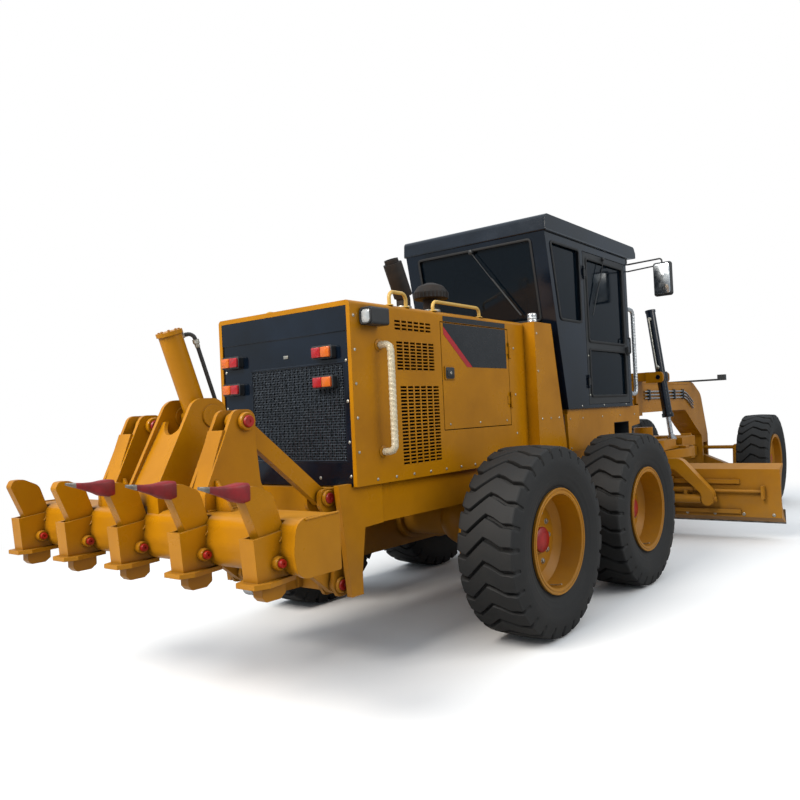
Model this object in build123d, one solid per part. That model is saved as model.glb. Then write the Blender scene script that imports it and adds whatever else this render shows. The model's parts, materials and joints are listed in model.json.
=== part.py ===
"""Articulated six-wheel motor grader with a rear parallelogram ripper.

Millimetres, +Z up, forward is -Y, the machine's right-hand side is -X.
While it is built, Y = 0 is midway between the rear axles and Z = 0 is the ground;
at the end everything is moved along Y so that the origin is under the middle.
"""
from build123d import *
import math
import os

# ---------------------------------------------------------------- driving sizes
GAP = 6.0                 # clearance between pieces that move past each other
SEAT = 0.3                # clearance between round pieces that sit in each other
PIN_FIT = 0.05            # radial clearance of a pin in its bore

TYRE_R = 630.0
TYRE_W = 440.0
RIM_SEAT_R = 318.0        # where the tyre's bead sits
RIM_FLANGE_R = 346.0
RIM_FLANGE_T = 14.0
RIM_WALL = 12.0
RIM_W = 384.0             # over the flanges
DISC_T = 18.0
HUB_R = 105.0
REAR_DISC_DEPTH = 215.0   # outer flange to wheel disc, rear wheels
FRONT_DISC_DEPTH = 150.0
REAR_WHEEL_X = 1088.0
FRONT_WHEEL_X = 954.0
TANDEM_HALF = 770.0
WHEELBASE = 5920.0        # tandem centre to front axle

CASE_R = 262.0            # rounded ends of a tandem case
CASE_X0 = 640.0
CASE_X1 = 850.0
SPINDLE_R = 60.0
AXLE_TUBE_R = 170.0

RAIL_X = 550.0            # outer faces of the rear frame rails
RAIL_Z0 = 860.0
RAIL_Z1 = 1099.7
RAIL_WEB = 25.0
RAIL_FLANGE = 110.0
ENGINE_Z0 = 1040.0
ENGINE_MOUNTS = (330.0, 1180.0)
REAR_PLATE_Y = 1985.0     # rear face of the cross plate that carries the ripper
REAR_PLATE_T = 40.0
LOW_PLATE_Y = 1920.0      # rear face of the low cross plate between the ripper brackets

HOOD_X = 608.0
HOOD_Y0 = -20.0           # front end, at the tank
HOOD_Y1 = 1936.0
HOOD_Z0 = 1100.0
HOOD_Z1 = 2192.0
HOOD_WALL = 30.0
HOOD_EDGE_R = 26.0
DOOR_Y0 = 225.0
DOOR_Y1 = 1080.0
DOOR_Z0 = 1385.0
DOOR_Z1 = 2125.0
DOOR_GAP = 6.0
HINGE_OUT = 11.0          # hinge pins of doors stand this far outside the panel
ENGINE_HINGES = (1580.0, 1960.0)
CAB_HINGES = (1720.0, 2690.0)
SLOT_H = 13.0

TANK_X = 708.0
TANK_Y0 = -470.0
TANK_Z0 = 1100.0

HITCH_Y = -950.0          # articulation axis
HITCH_PIN_R = 45.0
HITCH_EYE_R = 112.0
HITCH_Z0 = 690.0
HITCH_Z1 = 1060.0

CAB_X = 730.0
CAB_WALL = 45.0
CAB_Z0 = 1484.0
CAB_Z1 = 2950.0           # underside of the roof
CAB_FRONT_Y = -1862.0
CAB_REAR_LOW_Y = -496.0
CAB_REAR_TOP_Y = -217.0
B_POST_Y = -880.0
ROOF_T = 140.0
ROOF_X = 745.0
ROOF_REAR_Y = -205.0
ROOF_FRONT_Y = -2090.0
GLASS_T = 8.0
CAB_GAP = 26.0            # between cab and tank, all round the articulation axis

BASE_X = 705.0
BASE_Z0 = 1125.0
BASE_FRONT_Y = -2080.0
DECK_Z = 1440.0           # underside of the cab's floor

FRAME_HALF = 150.0        # half width of the front frame's box beam
AXLE_PIVOT_Z = 600.0
AXLE_PLATE_Z = 710.0      # middle of the bolt holes in the nose's front face
PLATE_BOLT_X = 100.0
PLATE_BOLT_Z = 150.0
PLATE_BOLT_R = 11.0
LEAN_X = 620.0
LEAN_Z = 480.0
LEAN_BAR_Z = 800.0
LEAN_BAR_PIN_R = 20.0
KINGPIN_X = 765.0
KINGPIN_R = 30.0

CIRCLE_Y = -3440.0
CIRCLE_Z = 860.0          # underside of the ring
CIRCLE_T = 95.0
CIRCLE_R = 765.0
CIRCLE_INNER_R = 610.0
SHOE_R = 572.0            # inner faces of the circle shoes
DRAWBAR_T = 110.0         # carrier plate above the ring
BALL_Y = -5560.0          # drawbar ball
BALL_Z = 760.0
BALL_R = 60.0
LIFT_Y = -3400.0          # blade lift cylinders, leaning inwards at the top
LIFT_FOOT_X = 560.0
LIFT_FOOT_Z = 1015.0
LIFT_YOKE_Z = 1800.0
LIFT_TOP_Z = 2600.0
LIFT_LEAN = 0.12          # sideways per unit of height
LIFT_BALL_R = 36.0        # ball studs under the lift rods' caps

BLADE_W = 3658.0
BLADE_H = 610.0
BLADE_T = 22.0
BLADE_ARC_R = 413.0
BLADE_BOTTOM_Z = 180.0
BLADE_BACK_Y = -3010.0    # flat back of the moldboard
EDGE_T = 16.0
EDGE_H = 152.0
TIP_Y = -2870.0           # axis on which the moldboard tips
TIP_Z = 440.0
ARM_TOP_X = 560.0         # blade arms: splayed outwards from the ring
ARM_LOW_X = 1120.0
ARM_HALF_T = 55.0
SHIFT_ROD_Y = -2958.0     # side-shift cylinder, along the moldboard
SHIFT_ROD_Z = 520.0
SHIFT_EYE_X = 1649.0
SHIFT_STROKE = 440.0      # either way
SHIFT_BARREL_X = 930.0    # open end of the side-shift cylinder, right of the mid-plane
BLADE_RAILS = (618.0, 300.0)

RIPPER_UP_Y = 2054.0
RIPPER_UP_Z = 1050.0
RIPPER_LOW_Y = 1980.0
RIPPER_LOW_Z = 537.0
TOWER_Y = 2605.0
TOWER_Z = 1512.0
TOWER_X = 414.0
RIPPER_PIN_R = 32.0
BEAM_HALF = 1165.0
BEAM_Y0 = 2660.0
BEAM_Y1 = 2920.0
BEAM_Z0 = 830.0
BEAM_Z1 = 1080.0
POCKET_STEP = 520.0
SHANK_T = 60.0
SHANK_PIN_Y = BEAM_Y1 + 20
SHANK_PIN_Z = 900.0
SHANK_PIN_R = 20.0
RAM_Y = 2545.0            # ripper cylinder's trunnion
RAM_Z = 1551.0
RAM_PIN_R = 34.0
RAM_PIN_X = 146.0
RAM_FOOT_Y = 2212.0
RAM_FOOT_Z = 540.0
RAM_FOOT_PIN_R = 22.0
RAM_FOOT_PLAY = 16.0      # half length of the slot in the rod's eye, along the rod


# ---------------------------------------------------------------- small helpers
def block(x0, x1, y0, y1, z0, z1):
    """Box given by its two corners."""
    centre = ((x0 + x1) / 2, (y0 + y1) / 2, (z0 + z1) / 2)
    return Pos(*centre) * Box(abs(x1 - x0), abs(y1 - y0), abs(z1 - z0))


def face_of(points, radius=0):
    """Flat face inside a closed outline; radius is one value or one per corner."""
    if radius == 0:
        return make_face(Polyline(*points, close=True))
    return make_face(FilletPolyline(*points, radius=radius, close=True))


def plate_x(points, x0, x1, radius=0):
    """Outline in (y, z), from x0 to x1."""
    return extrude(Plane.YZ.offset(min(x0, x1)) * face_of(points, radius), amount=abs(x1 - x0))


def plate_y(points, y0, y1, radius=0):
    """Outline in (x, z), from y0 to y1."""
    return extrude(Plane.XZ.offset(-max(y0, y1)) * face_of(points, radius), amount=abs(y1 - y0))


def plate_z(points, z0, z1, radius=0):
    """Outline in (x, y), from z0 to z1."""
    return extrude(Plane.XY.offset(min(z0, z1)) * face_of(points, radius), amount=abs(z1 - z0))


def bar(start, end, radius):
    """Round bar between two points."""
    start, end = Vector(*start), Vector(*end)
    along = Plane(origin=start, z_dir=end - start)
    return extrude(along * Circle(radius), amount=(end - start).length)


def bar_x(x0, x1, y, z, radius):
    return bar((min(x0, x1), y, z), (max(x0, x1), y, z), radius)


def mirrored(piece):
    """The same piece on the other side of the mid-plane."""
    return mirror(piece, Plane.YZ)


def both(piece):
    return piece + mirrored(piece)


parts = {}


def keep(name, *solids):
    """Store one node: one solid, or several that do not touch."""
    flat = [solid for item in solids for solid in item.solids()]
    parts[name] = flat


# ---------------------------------------------------------------- wheels
def tyre():
    """Tyre about X, centred; the outer sidewall faces +X."""
    half = TYRE_W / 2
    bead = RIM_W / 2 - RIM_FLANGE_T - 2
    seat = RIM_SEAT_R + SEAT
    points = [
        (-bead, seat), (-bead, RIM_FLANGE_R + 12), (-half + 8, RIM_FLANGE_R + 60), (-half, 500),
        (-half + 22, TYRE_R - 12), (-half + 70, TYRE_R), (half - 70, TYRE_R), (half - 22, TYRE_R - 12),
        (half, 500), (half - 8, RIM_FLANGE_R + 60), (bead, RIM_FLANGE_R + 12), (bead, seat),
    ]
    radii = [0, 10, 40, 60, 20, 20, 20, 20, 60, 40, 10, 0]
    section = Plane.XZ * face_of(points, radii)
    return revolve(section, Axis.X, 360)


def rim(disc_depth, hub_r, hub_out):
    """Deep-dish rim about X, centred; the dish opens towards +X."""
    half = RIM_W / 2
    inner = RIM_SEAT_R - RIM_WALL
    disc_x = half - disc_depth
    points = [
        (-half, inner), (-half, RIM_FLANGE_R), (-half + RIM_FLANGE_T, RIM_FLANGE_R),
        (-half + RIM_FLANGE_T, RIM_SEAT_R), (half - RIM_FLANGE_T, RIM_SEAT_R),
        (half - RIM_FLANGE_T, RIM_FLANGE_R), (half, RIM_FLANGE_R), (half, inner),
        (disc_x + 60, inner), (disc_x + DISC_T, inner - 55), (disc_x + DISC_T, hub_r),
        (disc_x + hub_out, hub_r - 12), (disc_x + hub_out, 0),
        (disc_x - 10, 0), (disc_x - 10, hub_r), (disc_x, hub_r), (disc_x, inner - 62), (disc_x + 40, inner),
    ]
    section = Plane.XZ * face_of(points)
    return revolve(section, Axis.X, 360)


def add_wheel(tag, x, y, disc_depth, hub_r, hub_out):
    """Tyre and rim of one wheel; x is negative on the right-hand side."""
    for name, piece in (("tyre", tyre()), ("rim", rim(disc_depth, hub_r, hub_out))):
        placed = Pos(abs(x), y, TYRE_R) * piece
        keep(f"{name}_{tag}", mirrored(placed) if x < 0 else placed)


SIDES = (("right", -1), ("left", 1))


def make_wheels():
    for side, sign in SIDES:
        x = sign * REAR_WHEEL_X
        add_wheel(f"rear_{side}", x, TANDEM_HALF, REAR_DISC_DEPTH, HUB_R, 70)
        add_wheel(f"mid_{side}", x, -TANDEM_HALF, REAR_DISC_DEPTH, HUB_R, 70)
        add_wheel(f"front_{side}", sign * FRONT_WHEEL_X, -WHEELBASE, FRONT_DISC_DEPTH, HUB_R - 15, 60)


# ---------------------------------------------------------------- rear frame
def rail():
    """Channel-section rail on the left side, open towards the middle."""
    y0, y1 = HITCH_Y + 240, REAR_PLATE_Y - REAR_PLATE_T
    web = block(RAIL_X - RAIL_WEB, RAIL_X, y0, y1, RAIL_Z0, RAIL_Z1)
    top = block(RAIL_X - RAIL_FLANGE, RAIL_X, y0, y1, RAIL_Z1 - RAIL_WEB, RAIL_Z1)
    low = block(RAIL_X - RAIL_FLANGE, RAIL_X, y0, y1, RAIL_Z0, RAIL_Z0 + RAIL_WEB)
    return web + top + low


def ripper_bracket():
    """Left-hand ripper bracket: a tapered side plate and two pin lugs."""
    side = plate_x(
        [(REAR_PLATE_Y - 300, RAIL_Z0), (REAR_PLATE_Y - 138, RAIL_Z0 - 6), (LOW_PLATE_Y - 35, 600),
         (LOW_PLATE_Y - 35, 470), (REAR_PLATE_Y - 5, 470), (REAR_PLATE_Y + 65, RAIL_Z1 + 20),
         (REAR_PLATE_Y - 40, RAIL_Z1 + 20), (REAR_PLATE_Y - 40, RAIL_Z1), (REAR_PLATE_Y - 300, RAIL_Z1)],
        RAIL_X - 20, RAIL_X + 20)
    lugs = []
    for x in (TOWER_X - 66, TOWER_X + 40):
        plate = plate_x(
            [(LOW_PLATE_Y - 30, 470), (RIPPER_LOW_Y + 20, 470), (RIPPER_LOW_Y + 62, RIPPER_LOW_Z),
             (RIPPER_LOW_Y + 40, 660), (RIPPER_LOW_Y + 40, 900), (RIPPER_UP_Y + 58, 1000),
             (RIPPER_UP_Y + 58, RIPPER_UP_Z + 52), (RIPPER_UP_Y - 58, RIPPER_UP_Z + 52),
             (REAR_PLATE_Y - 40, RAIL_Z1 - 12), (LOW_PLATE_Y - 30, RAIL_Z1 - 30)],
            x, x + 26, [0, 20, 40, 80, 80, 40, 40, 40, 0, 0])
        lugs.append(plate)
    return side + lugs[0] + lugs[1]


def ripper_pin(y, z):
    """Pin through both lugs of the left-hand bracket."""
    return bar_x(TOWER_X - 72, TOWER_X + 76, y, z, RIPPER_PIN_R)


def ram_foot_lugs():
    """Two plates in the middle that hold the foot of the ripper cylinder."""
    plate = plate_x(
        [(LOW_PLATE_Y - 30, 470), (RAM_FOOT_Y, 480), (RAM_FOOT_Y + 58, RAM_FOOT_Z),
         (RAM_FOOT_Y, RAM_FOOT_Z + 62), (REAR_PLATE_Y - 10, 760), (LOW_PLATE_Y - 30, 760)],
        48, 72, [0, 30, 50, 40, 0, 0])
    return both(plate)


def make_rear_frame():
    frame = both(rail()) + both(ripper_bracket())
    y0 = REAR_PLATE_Y - REAR_PLATE_T
    frame += block(-RAIL_X, RAIL_X, y0, REAR_PLATE_Y, 780, RAIL_Z1)
    frame += block(-RAIL_X + 5, RAIL_X - 5, LOW_PLATE_Y - 35, LOW_PLATE_Y, 470, 600)
    frame += both(block(TOWER_X + 60, TOWER_X + 90, LOW_PLATE_Y - 35, y0 + 10, 480, 800))
    frame += block(-90, 90, LOW_PLATE_Y - 35, y0 + 10, 480, 800)
    frame += ram_foot_lugs()
    cross_y = HITCH_Y + 150
    frame += block(-RAIL_X, RAIL_X, cross_y, cross_y + 110, HITCH_Z0 - 30, RAIL_Z1)
    for z0, z1 in ((HITCH_Z0 - 42, HITCH_Z0 - GAP), (HITCH_Z1 + GAP, HITCH_Z1 + 42)):
        lug = block(-HITCH_EYE_R, HITCH_EYE_R, HITCH_Y, cross_y + 40, z0, z1)
        lug += Pos(0, HITCH_Y, (z0 + z1) / 2) * Cylinder(HITCH_EYE_R, z1 - z0)
        frame += lug
    frame += block(-HITCH_EYE_R, HITCH_EYE_R, cross_y + 20, cross_y + 60, RAIL_Z1 - 10, HITCH_Z1 + 42)
    pin = bar((0, HITCH_Y, HITCH_Z0 - 60), (0, HITCH_Y, HITCH_Z1 + 60), HITCH_PIN_R)
    frame += pin
    frame += both(ripper_pin(RIPPER_UP_Y, RIPPER_UP_Z)) + both(ripper_pin(RIPPER_LOW_Y, RIPPER_LOW_Z))
    frame += bar_x(-80, 80, RAM_FOOT_Y, RAM_FOOT_Z, RAM_FOOT_PIN_R)
    for y in ENGINE_MOUNTS:
        frame += block(-RAIL_X + 5, RAIL_X - 5, y - 35, y + 35, 980, ENGINE_Z0 - SEAT)
    keep("rear_frame", frame)


def tandem_case():
    """Left-hand chain case: a rounded box with a raised wheel boss at each end."""
    reach = TANDEM_HALF
    outline = Plane.YZ.offset(CASE_X0) * SlotCenterToCenter(2 * reach, 2 * CASE_R)
    case = Pos(0, 0, TYRE_R) * extrude(outline, amount=CASE_X1 - CASE_X0)
    end_x = REAR_WHEEL_X + RIM_W / 2 - REAR_DISC_DEPTH - 10 - SEAT
    for y in (-TANDEM_HALF, TANDEM_HALF):
        case += bar_x(CASE_X1, end_x - 60, y, TYRE_R, 165)
        case += bar_x(CASE_X1, end_x, y, TYRE_R, SPINDLE_R)
    case += bar_x(CASE_X0 - 60, CASE_X0, 0, TYRE_R, AXLE_TUBE_R + 40)
    return case


def make_rear_axle():
    """Axle tube between the tandem cases with its differential bowl, hung under the rails."""
    inner = CASE_X0 - 60
    tube = bar_x(-inner, inner, 0, TYRE_R, AXLE_TUBE_R)
    bowl = Pos(0, 0, TYRE_R) * Sphere(245)
    bowl &= block(-220, 220, -300, 300, 380, RAIL_Z0 - 4)
    saddle = both(block(330, RAIL_X, -150, 150, TYRE_R, RAIL_Z0))
    keep("rear_axle", tube + bowl + saddle)
    keep("tandem_cases", tandem_case(), mirrored(tandem_case()))


# ---------------------------------------------------------------- hood
def slots(rows_table):
    """Louvre slots for the left side panel, from a table of fields."""
    cuts = []
    for y0, y1, z0, z1, rows in rows_table:
        pitch = (z1 - z0) / rows
        for row in range(rows):
            z = z0 + pitch * (row + 0.5)
            half = min(SLOT_H, pitch * 0.62) / 2
            cuts.append(block(HOOD_X - HOOD_WALL - 5, HOOD_X + 5, y0, y1, z - half, z + half))
    return cuts


# fields of louvres: y from, y to, z from, z to, rows
LOUVRES = (
    (1185, 1545, 2035, 2105, 3),
    (1160, 1535, 1785, 1970, 9),
    (1125, 1515, 1190, 1690, 23),
)


def hood_side():
    """Left side panel with its door opening and louvres."""
    panel = block(HOOD_X - HOOD_WALL, HOOD_X, HOOD_Y0, HOOD_Y1, HOOD_Z0, HOOD_Z1 - HOOD_WALL)
    opening = block(HOOD_X - HOOD_WALL - 5, HOOD_X + 5, DOOR_Y0, DOOR_Y1, DOOR_Z0, DOOR_Z1)
    panel -= opening
    for cut in slots(LOUVRES):
        panel -= cut
    return panel


def make_hood():
    outline = Rectangle(2 * HOOD_X, 2 * HOOD_WALL)
    outline = fillet(outline.vertices(), HOOD_EDGE_R)
    top = extrude(Plane.XZ.offset(-HOOD_Y1) * outline, amount=HOOD_Y1 - HOOD_Y0)
    top = Pos(0, 0, HOOD_Z1 - HOOD_WALL) * top
    top &= block(-HOOD_X, HOOD_X, HOOD_Y0, HOOD_Y1, HOOD_Z1 - HOOD_WALL, HOOD_Z1)
    sides = both(hood_side())
    front = block(-HOOD_X + HOOD_WALL, HOOD_X - HOOD_WALL, HOOD_Y0, HOOD_Y0 + HOOD_WALL, HOOD_Z0, HOOD_Z1 - HOOD_WALL)
    floor = both(block(HOOD_X - 130, HOOD_X - HOOD_WALL, HOOD_Y0 + HOOD_WALL, HOOD_Y1 - 60, HOOD_Z0, HOOD_Z0 + 20))
    shell = top + sides + front + floor
    for leaf in make_engine_doors():
        shell += both(leaf)
    keep("hood", shell)


def hinge(x, y, z, length, fixed_y, moving_y):
    """Upright hinge outside a panel whose face is at x: fixed leaf with its pin, moving leaf with its eye."""
    cx = x + HINGE_OUT
    way = 1 if moving_y > y else -1
    fixed = bar((cx, y, z - length / 2), (cx, y, z + length / 2), 5)
    for z0, z1 in ((z - length / 2, z - length / 4), (z + length / 4, z + length / 2)):
        fixed += bar((cx, y, z0), (cx, y, z1), 9)
        fixed += block(x - 1, x + 4, y, fixed_y, z0, z1)
        fixed += block(x - 1, cx, y - 4 * way, y, z0, z1)
    z0, z1 = z - length / 4 + SEAT, z + length / 4 - SEAT
    moving = bar((cx, y, z0), (cx, y, z1), 9)
    moving += block(x + SEAT, cx, y, y + 4 * way, z0, z1)
    moving += block(x + SEAT, x + 4, y, moving_y, z0, z1)
    moving += block(x - 1, x + 4, y + (DOOR_GAP + 4) * way, moving_y, z0, z1)
    moving -= bar((cx, y, z0 - 1), (cx, y, z1 + 1), 5 + PIN_FIT)
    return fixed, moving


def make_engine_doors():
    """Side doors: hinged at their front edges, each in its opening."""
    g = DOOR_GAP
    door = block(HOOD_X - HOOD_WALL, HOOD_X, DOOR_Y0 + g, DOOR_Y1 - g, DOOR_Z0 + g, DOOR_Z1 - g)
    latch_y, latch_z = DOOR_Y1 - 70, DOOR_Z0 + 385
    door += block(HOOD_X, HOOD_X + 8, latch_y - 70, latch_y + 45, latch_z - 40, latch_z + 50)
    leaves = []
    for z in ENGINE_HINGES:
        fixed, moving = hinge(HOOD_X, DOOR_Y0, z, 120, DOOR_Y0 - 30, DOOR_Y0 + 40)
        leaves.append(fixed)
        door += moving
    keep("engine_door_right", mirrored(door))
    keep("engine_door_left", door)
    return leaves


def make_guard():
    """Black rear panel with its mesh field and the plain raised band along its top."""
    x = HOOD_X - HOOD_WALL - SEAT
    y0, y1 = HOOD_Y1 - 45, HOOD_Y1 - 8
    z0, z1 = HOOD_Z0 + 4, HOOD_Z1 - HOOD_WALL - SEAT
    panel = block(-x, x, y0, y1, z0, z1)
    panel += block(-x, x, y1 - 1, y1 + 7, HOOD_Z1 - 178, z1)
    panel -= block(-535, 300, y1 - 6, y1 + 6, 1245, 1835)
    bars = 22
    for i in range(bars):
        bx = -535 + (i + 0.5) * 835 / bars
        panel -= block(bx - 9, bx + 9, y0 - 5, y1, 1262, 1818)
    keep("rear_guard", panel)


# tail lamps: x from, x to, z from, z to, depth of their base behind the panel's face
TAIL_LAMPS = (
    (-475, -312, 1862, 1936, 0),
    (-475, -312, 1686, 1758, 6),
    (376, 545, 1862, 1936, 0),
    (376, 545, 1686, 1758, 0),
)


def make_hood_fittings():
    face_y = HOOD_Y1 - 8 + SEAT
    lamps = [block(x0, x1, face_y - deep, face_y + 38, z0, z1) for x0, x1, z0, z1, deep in TAIL_LAMPS]
    lamps = [fillet(lamp.edges().filter_by(Axis.Y), 12) for lamp in lamps]
    lamp_box = block(HOOD_X, HOOD_X + 95, 1700, 1850, 2045, 2150)
    lamp_box = fillet(lamp_box.edges().filter_by(Axis.Y), 16)
    keep("rear_lamps", *lamps, lamp_box, mirrored(lamp_box))
    engine = block(-330, 330, 120, 1350, ENGINE_Z0, 1780)
    keep("engine", engine)


def handrail(points, radius, pipe_r):
    """Bent tube along a route of straight runs with equal bends."""
    route = FilletPolyline(*points, radius=radius)
    start = Plane(origin=route @ 0, z_dir=route % 0)
    return sweep(start * Circle(pipe_r), path=route)


def make_handrails():
    """Rails on the hood's top edges and the wrapped grab handles on its flanks."""
    x = HOOD_X - 26
    z0, z1 = HOOD_Z1, HOOD_Z1 + 68
    long_rail = handrail([(x, 565, z0), (x, 565, z1), (x, 1115, z1), (x, 1115, z0)], 40, 12)
    short_rail = handrail([(x, 1395, z0), (x, 1395, z1 + 20), (x, 1555, z1 + 20), (x, 1555, z0)], 40, 12)
    out = HOOD_X + 95
    y = 1700
    grab = handrail([(HOOD_X + SEAT, y, 1935), (out, y, 1935), (out, y, 1290), (HOOD_X + SEAT, y, 1290)], 45, 18)
    pieces = [long_rail, short_rail, grab]
    keep("hood_handrails", *pieces, *[mirrored(piece) for piece in pieces])


def make_stacks():
    """Exhaust stub, bent rearwards and cut on the slant, and the engine air pre-cleaner."""
    x, y = -250, 1020
    lower = bar((x, y, HOOD_Z1), (x, y, HOOD_Z1 + 130), 50)
    elbow = Pos(x, y, HOOD_Z1 + 130) * Sphere(50)
    upper = bar((x, y, HOOD_Z1 + 130), (x, y + 115, HOOD_Z1 + 400), 50)
    upper -= bar((x, y + 20, HOOD_Z1 + 177), (x, y + 125, HOOD_Z1 + 424), 42)
    cleaner_y = 700
    stem = bar((x, cleaner_y, HOOD_Z1), (x, cleaner_y, 2360), 62)
    dome = revolve(
        Plane.XZ * face_of([(0, 2352), (128, 2352), (132, 2400), (96, 2450), (30, 2475), (0, 2478)],
                           [0, 10, 20, 40, 10, 0]), Axis.Z, 360)
    keep("stacks", lower + elbow + upper, stem + Pos(x, cleaner_y, 0) * dome)


def cab_sweep(radius_low, radius_high, z0, z1):
    """Cone about the articulation axis that the cab's rear corners stay inside."""
    return Pos(0, HITCH_Y, (z0 + z1) / 2) * Cone(radius_low, radius_high, z1 - z0)


def make_tank():
    """Tank and side fairings behind the cab, hollowed round the articulation axis."""
    low_r = math.hypot(CAB_X, CAB_REAR_LOW_Y - HITCH_Y) + CAB_GAP
    slope = (CAB_REAR_TOP_Y - CAB_REAR_LOW_Y) / (CAB_Z1 - CAB_Z0)
    rear_y = CAB_REAR_LOW_Y + slope * (HOOD_Z1 - CAB_Z0)
    high_r = math.hypot(CAB_X, rear_y - HITCH_Y) + CAB_GAP
    per_mm = (high_r - low_r) / (HOOD_Z1 - CAB_Z0)
    z0, z1 = TANK_Z0 - 5, HOOD_Z1 + 5
    cone = cab_sweep(low_r + per_mm * (z0 - CAB_Z0), low_r + per_mm * (z1 - CAB_Z0), z0, z1)
    tank = block(-TANK_X, TANK_X, TANK_Y0, HOOD_Y0 - SEAT, TANK_Z0, HOOD_Z1)
    tank = tank - cone
    cap = Pos(-660, -75, HOOD_Z1) * Cylinder(36, 70, align=(Align.CENTER, Align.CENTER, Align.MIN))
    keep("tank", tank + cap)


# ---------------------------------------------------------------- ripper
def ripper_links(y, z, name, width):
    """Pair of links parallel to the line from the frame pins to the tower pins."""
    dy, dz = TOWER_Y - RIPPER_UP_Y, TOWER_Z - RIPPER_UP_Z
    angle = math.degrees(math.atan2(dz, dy))
    length = math.hypot(dy, dz)
    half = width / 2
    outline = Plane.YZ * SlotCenterToCenter(length, width)
    link = extrude(outline, amount=46, both=False)
    link = Pos(0, y + dy / 2, z + dz / 2) * Rot(angle, 0, 0) * link
    link = Pos(TOWER_X - 23, 0, 0) * link
    for cy, cz in ((y, z), (y + dy, z + dz)):
        link += bar_x(TOWER_X - 33, TOWER_X + 33, cy, cz, half)
        link -= bar_x(TOWER_X - 60, TOWER_X + 60, cy, cz, RIPPER_PIN_R + PIN_FIT)
    keep(name, link, mirrored(link))


def side_tower():
    """Left-hand tower: two side plates, a rear web and the pins of the upper and lower links."""
    low_y = TOWER_Y - RIPPER_UP_Y + RIPPER_LOW_Y
    low_z = TOWER_Z - RIPPER_UP_Z + RIPPER_LOW_Z
    outline = [
        (TOWER_Y - 62, TOWER_Z + 62), (TOWER_Y + 66, TOWER_Z + 62), (BEAM_Y1 - 60, BEAM_Z1 + 80),
        (BEAM_Y1 - 60, BEAM_Z0 + 40), (BEAM_Y0 - 10, BEAM_Z0 + 20), (low_y - 62, low_z - 64), (low_y - 62, low_z + 62),
        (TOWER_Y - 80, BEAM_Z1 + 120), (TOWER_Y - 62, TOWER_Z - 120),
    ]
    radii = [50, 50, 60, 0, 20, 40, 30, 60, 60]
    tower = None
    for x in (TOWER_X - 74, TOWER_X + 50):
        plate = plate_x(outline, x, x + 24, radii)
        tower = plate if tower is None else tower + plate
    web = plate_x(
        [(TOWER_Y + 108, TOWER_Z - 40), (TOWER_Y + 128, TOWER_Z - 40), (BEAM_Y1 - 62, BEAM_Z1 + 60),
         (BEAM_Y1 - 62, BEAM_Z1 - 20), (BEAM_Y1 - 84, BEAM_Z1 - 20), (BEAM_Y1 - 84, BEAM_Z1 + 60)],
        TOWER_X - 60, TOWER_X + 60)
    tower += web
    for y, z in ((TOWER_Y, TOWER_Z), (low_y, low_z)):
        tower += bar_x(TOWER_X - 96, TOWER_X + 96, y, z, RIPPER_PIN_R)
    return tower


def centre_tower():
    """Taller middle tower that holds the cylinder's trunnion, with a U cut in its web."""
    outline = [
        (RAM_Y - 92, RAM_Z + 98), (RAM_Y + 110, RAM_Z + 98), (BEAM_Y1 - 30, BEAM_Z1 + 110),
        (BEAM_Y1 - 40, BEAM_Z0 + 40), (BEAM_Y0 - 20, BEAM_Z0 + 20), (BEAM_Y0 - 130, BEAM_Z1 + 40),
        (RAM_Y - 92, RAM_Z - 120),
    ]
    radii = [90, 90, 60, 0, 20, 60, 80]
    left = plate_x(outline, 112, 136, radii)
    tower = both(left)
    web = plate_x(
        [(RAM_Y + 118, RAM_Z - 20), (RAM_Y + 140, RAM_Z - 20), (BEAM_Y1 - 36, BEAM_Z1 + 90),
         (BEAM_Y1 - 36, BEAM_Z1 - 20), (BEAM_Y1 - 58, BEAM_Z1 - 20), (BEAM_Y1 - 58, BEAM_Z1 + 90)],
        -120, 120)
    web -= bar((0, RAM_Y - 100, RAM_Z - 5), (0, RAM_Y + 400, RAM_Z - 5), 88)
    return tower + web


def beam():
    """Cross beam, flat in front and rounded behind, with a plate over each end."""
    outline = [(BEAM_Y0, BEAM_Z0), (BEAM_Y1 - 20, BEAM_Z0), (BEAM_Y1, BEAM_Z0 + 110),
               (BEAM_Y1 - 20, BEAM_Z1), (BEAM_Y0, BEAM_Z1)]
    radii = [10, 70, 120, 70, 10]
    body = plate_x(outline, -BEAM_HALF, BEAM_HALF, radii)
    wide = [(BEAM_Y0 - 6, BEAM_Z0 - 6), (BEAM_Y1 - 14, BEAM_Z0 - 6), (BEAM_Y1 + 6, BEAM_Z0 + 110),
            (BEAM_Y1 - 14, BEAM_Z1 + 6), (BEAM_Y0 - 6, BEAM_Z1 + 6)]
    end = plate_x(wide, BEAM_HALF, BEAM_HALF + 20, radii)
    return body + both(end)


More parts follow.
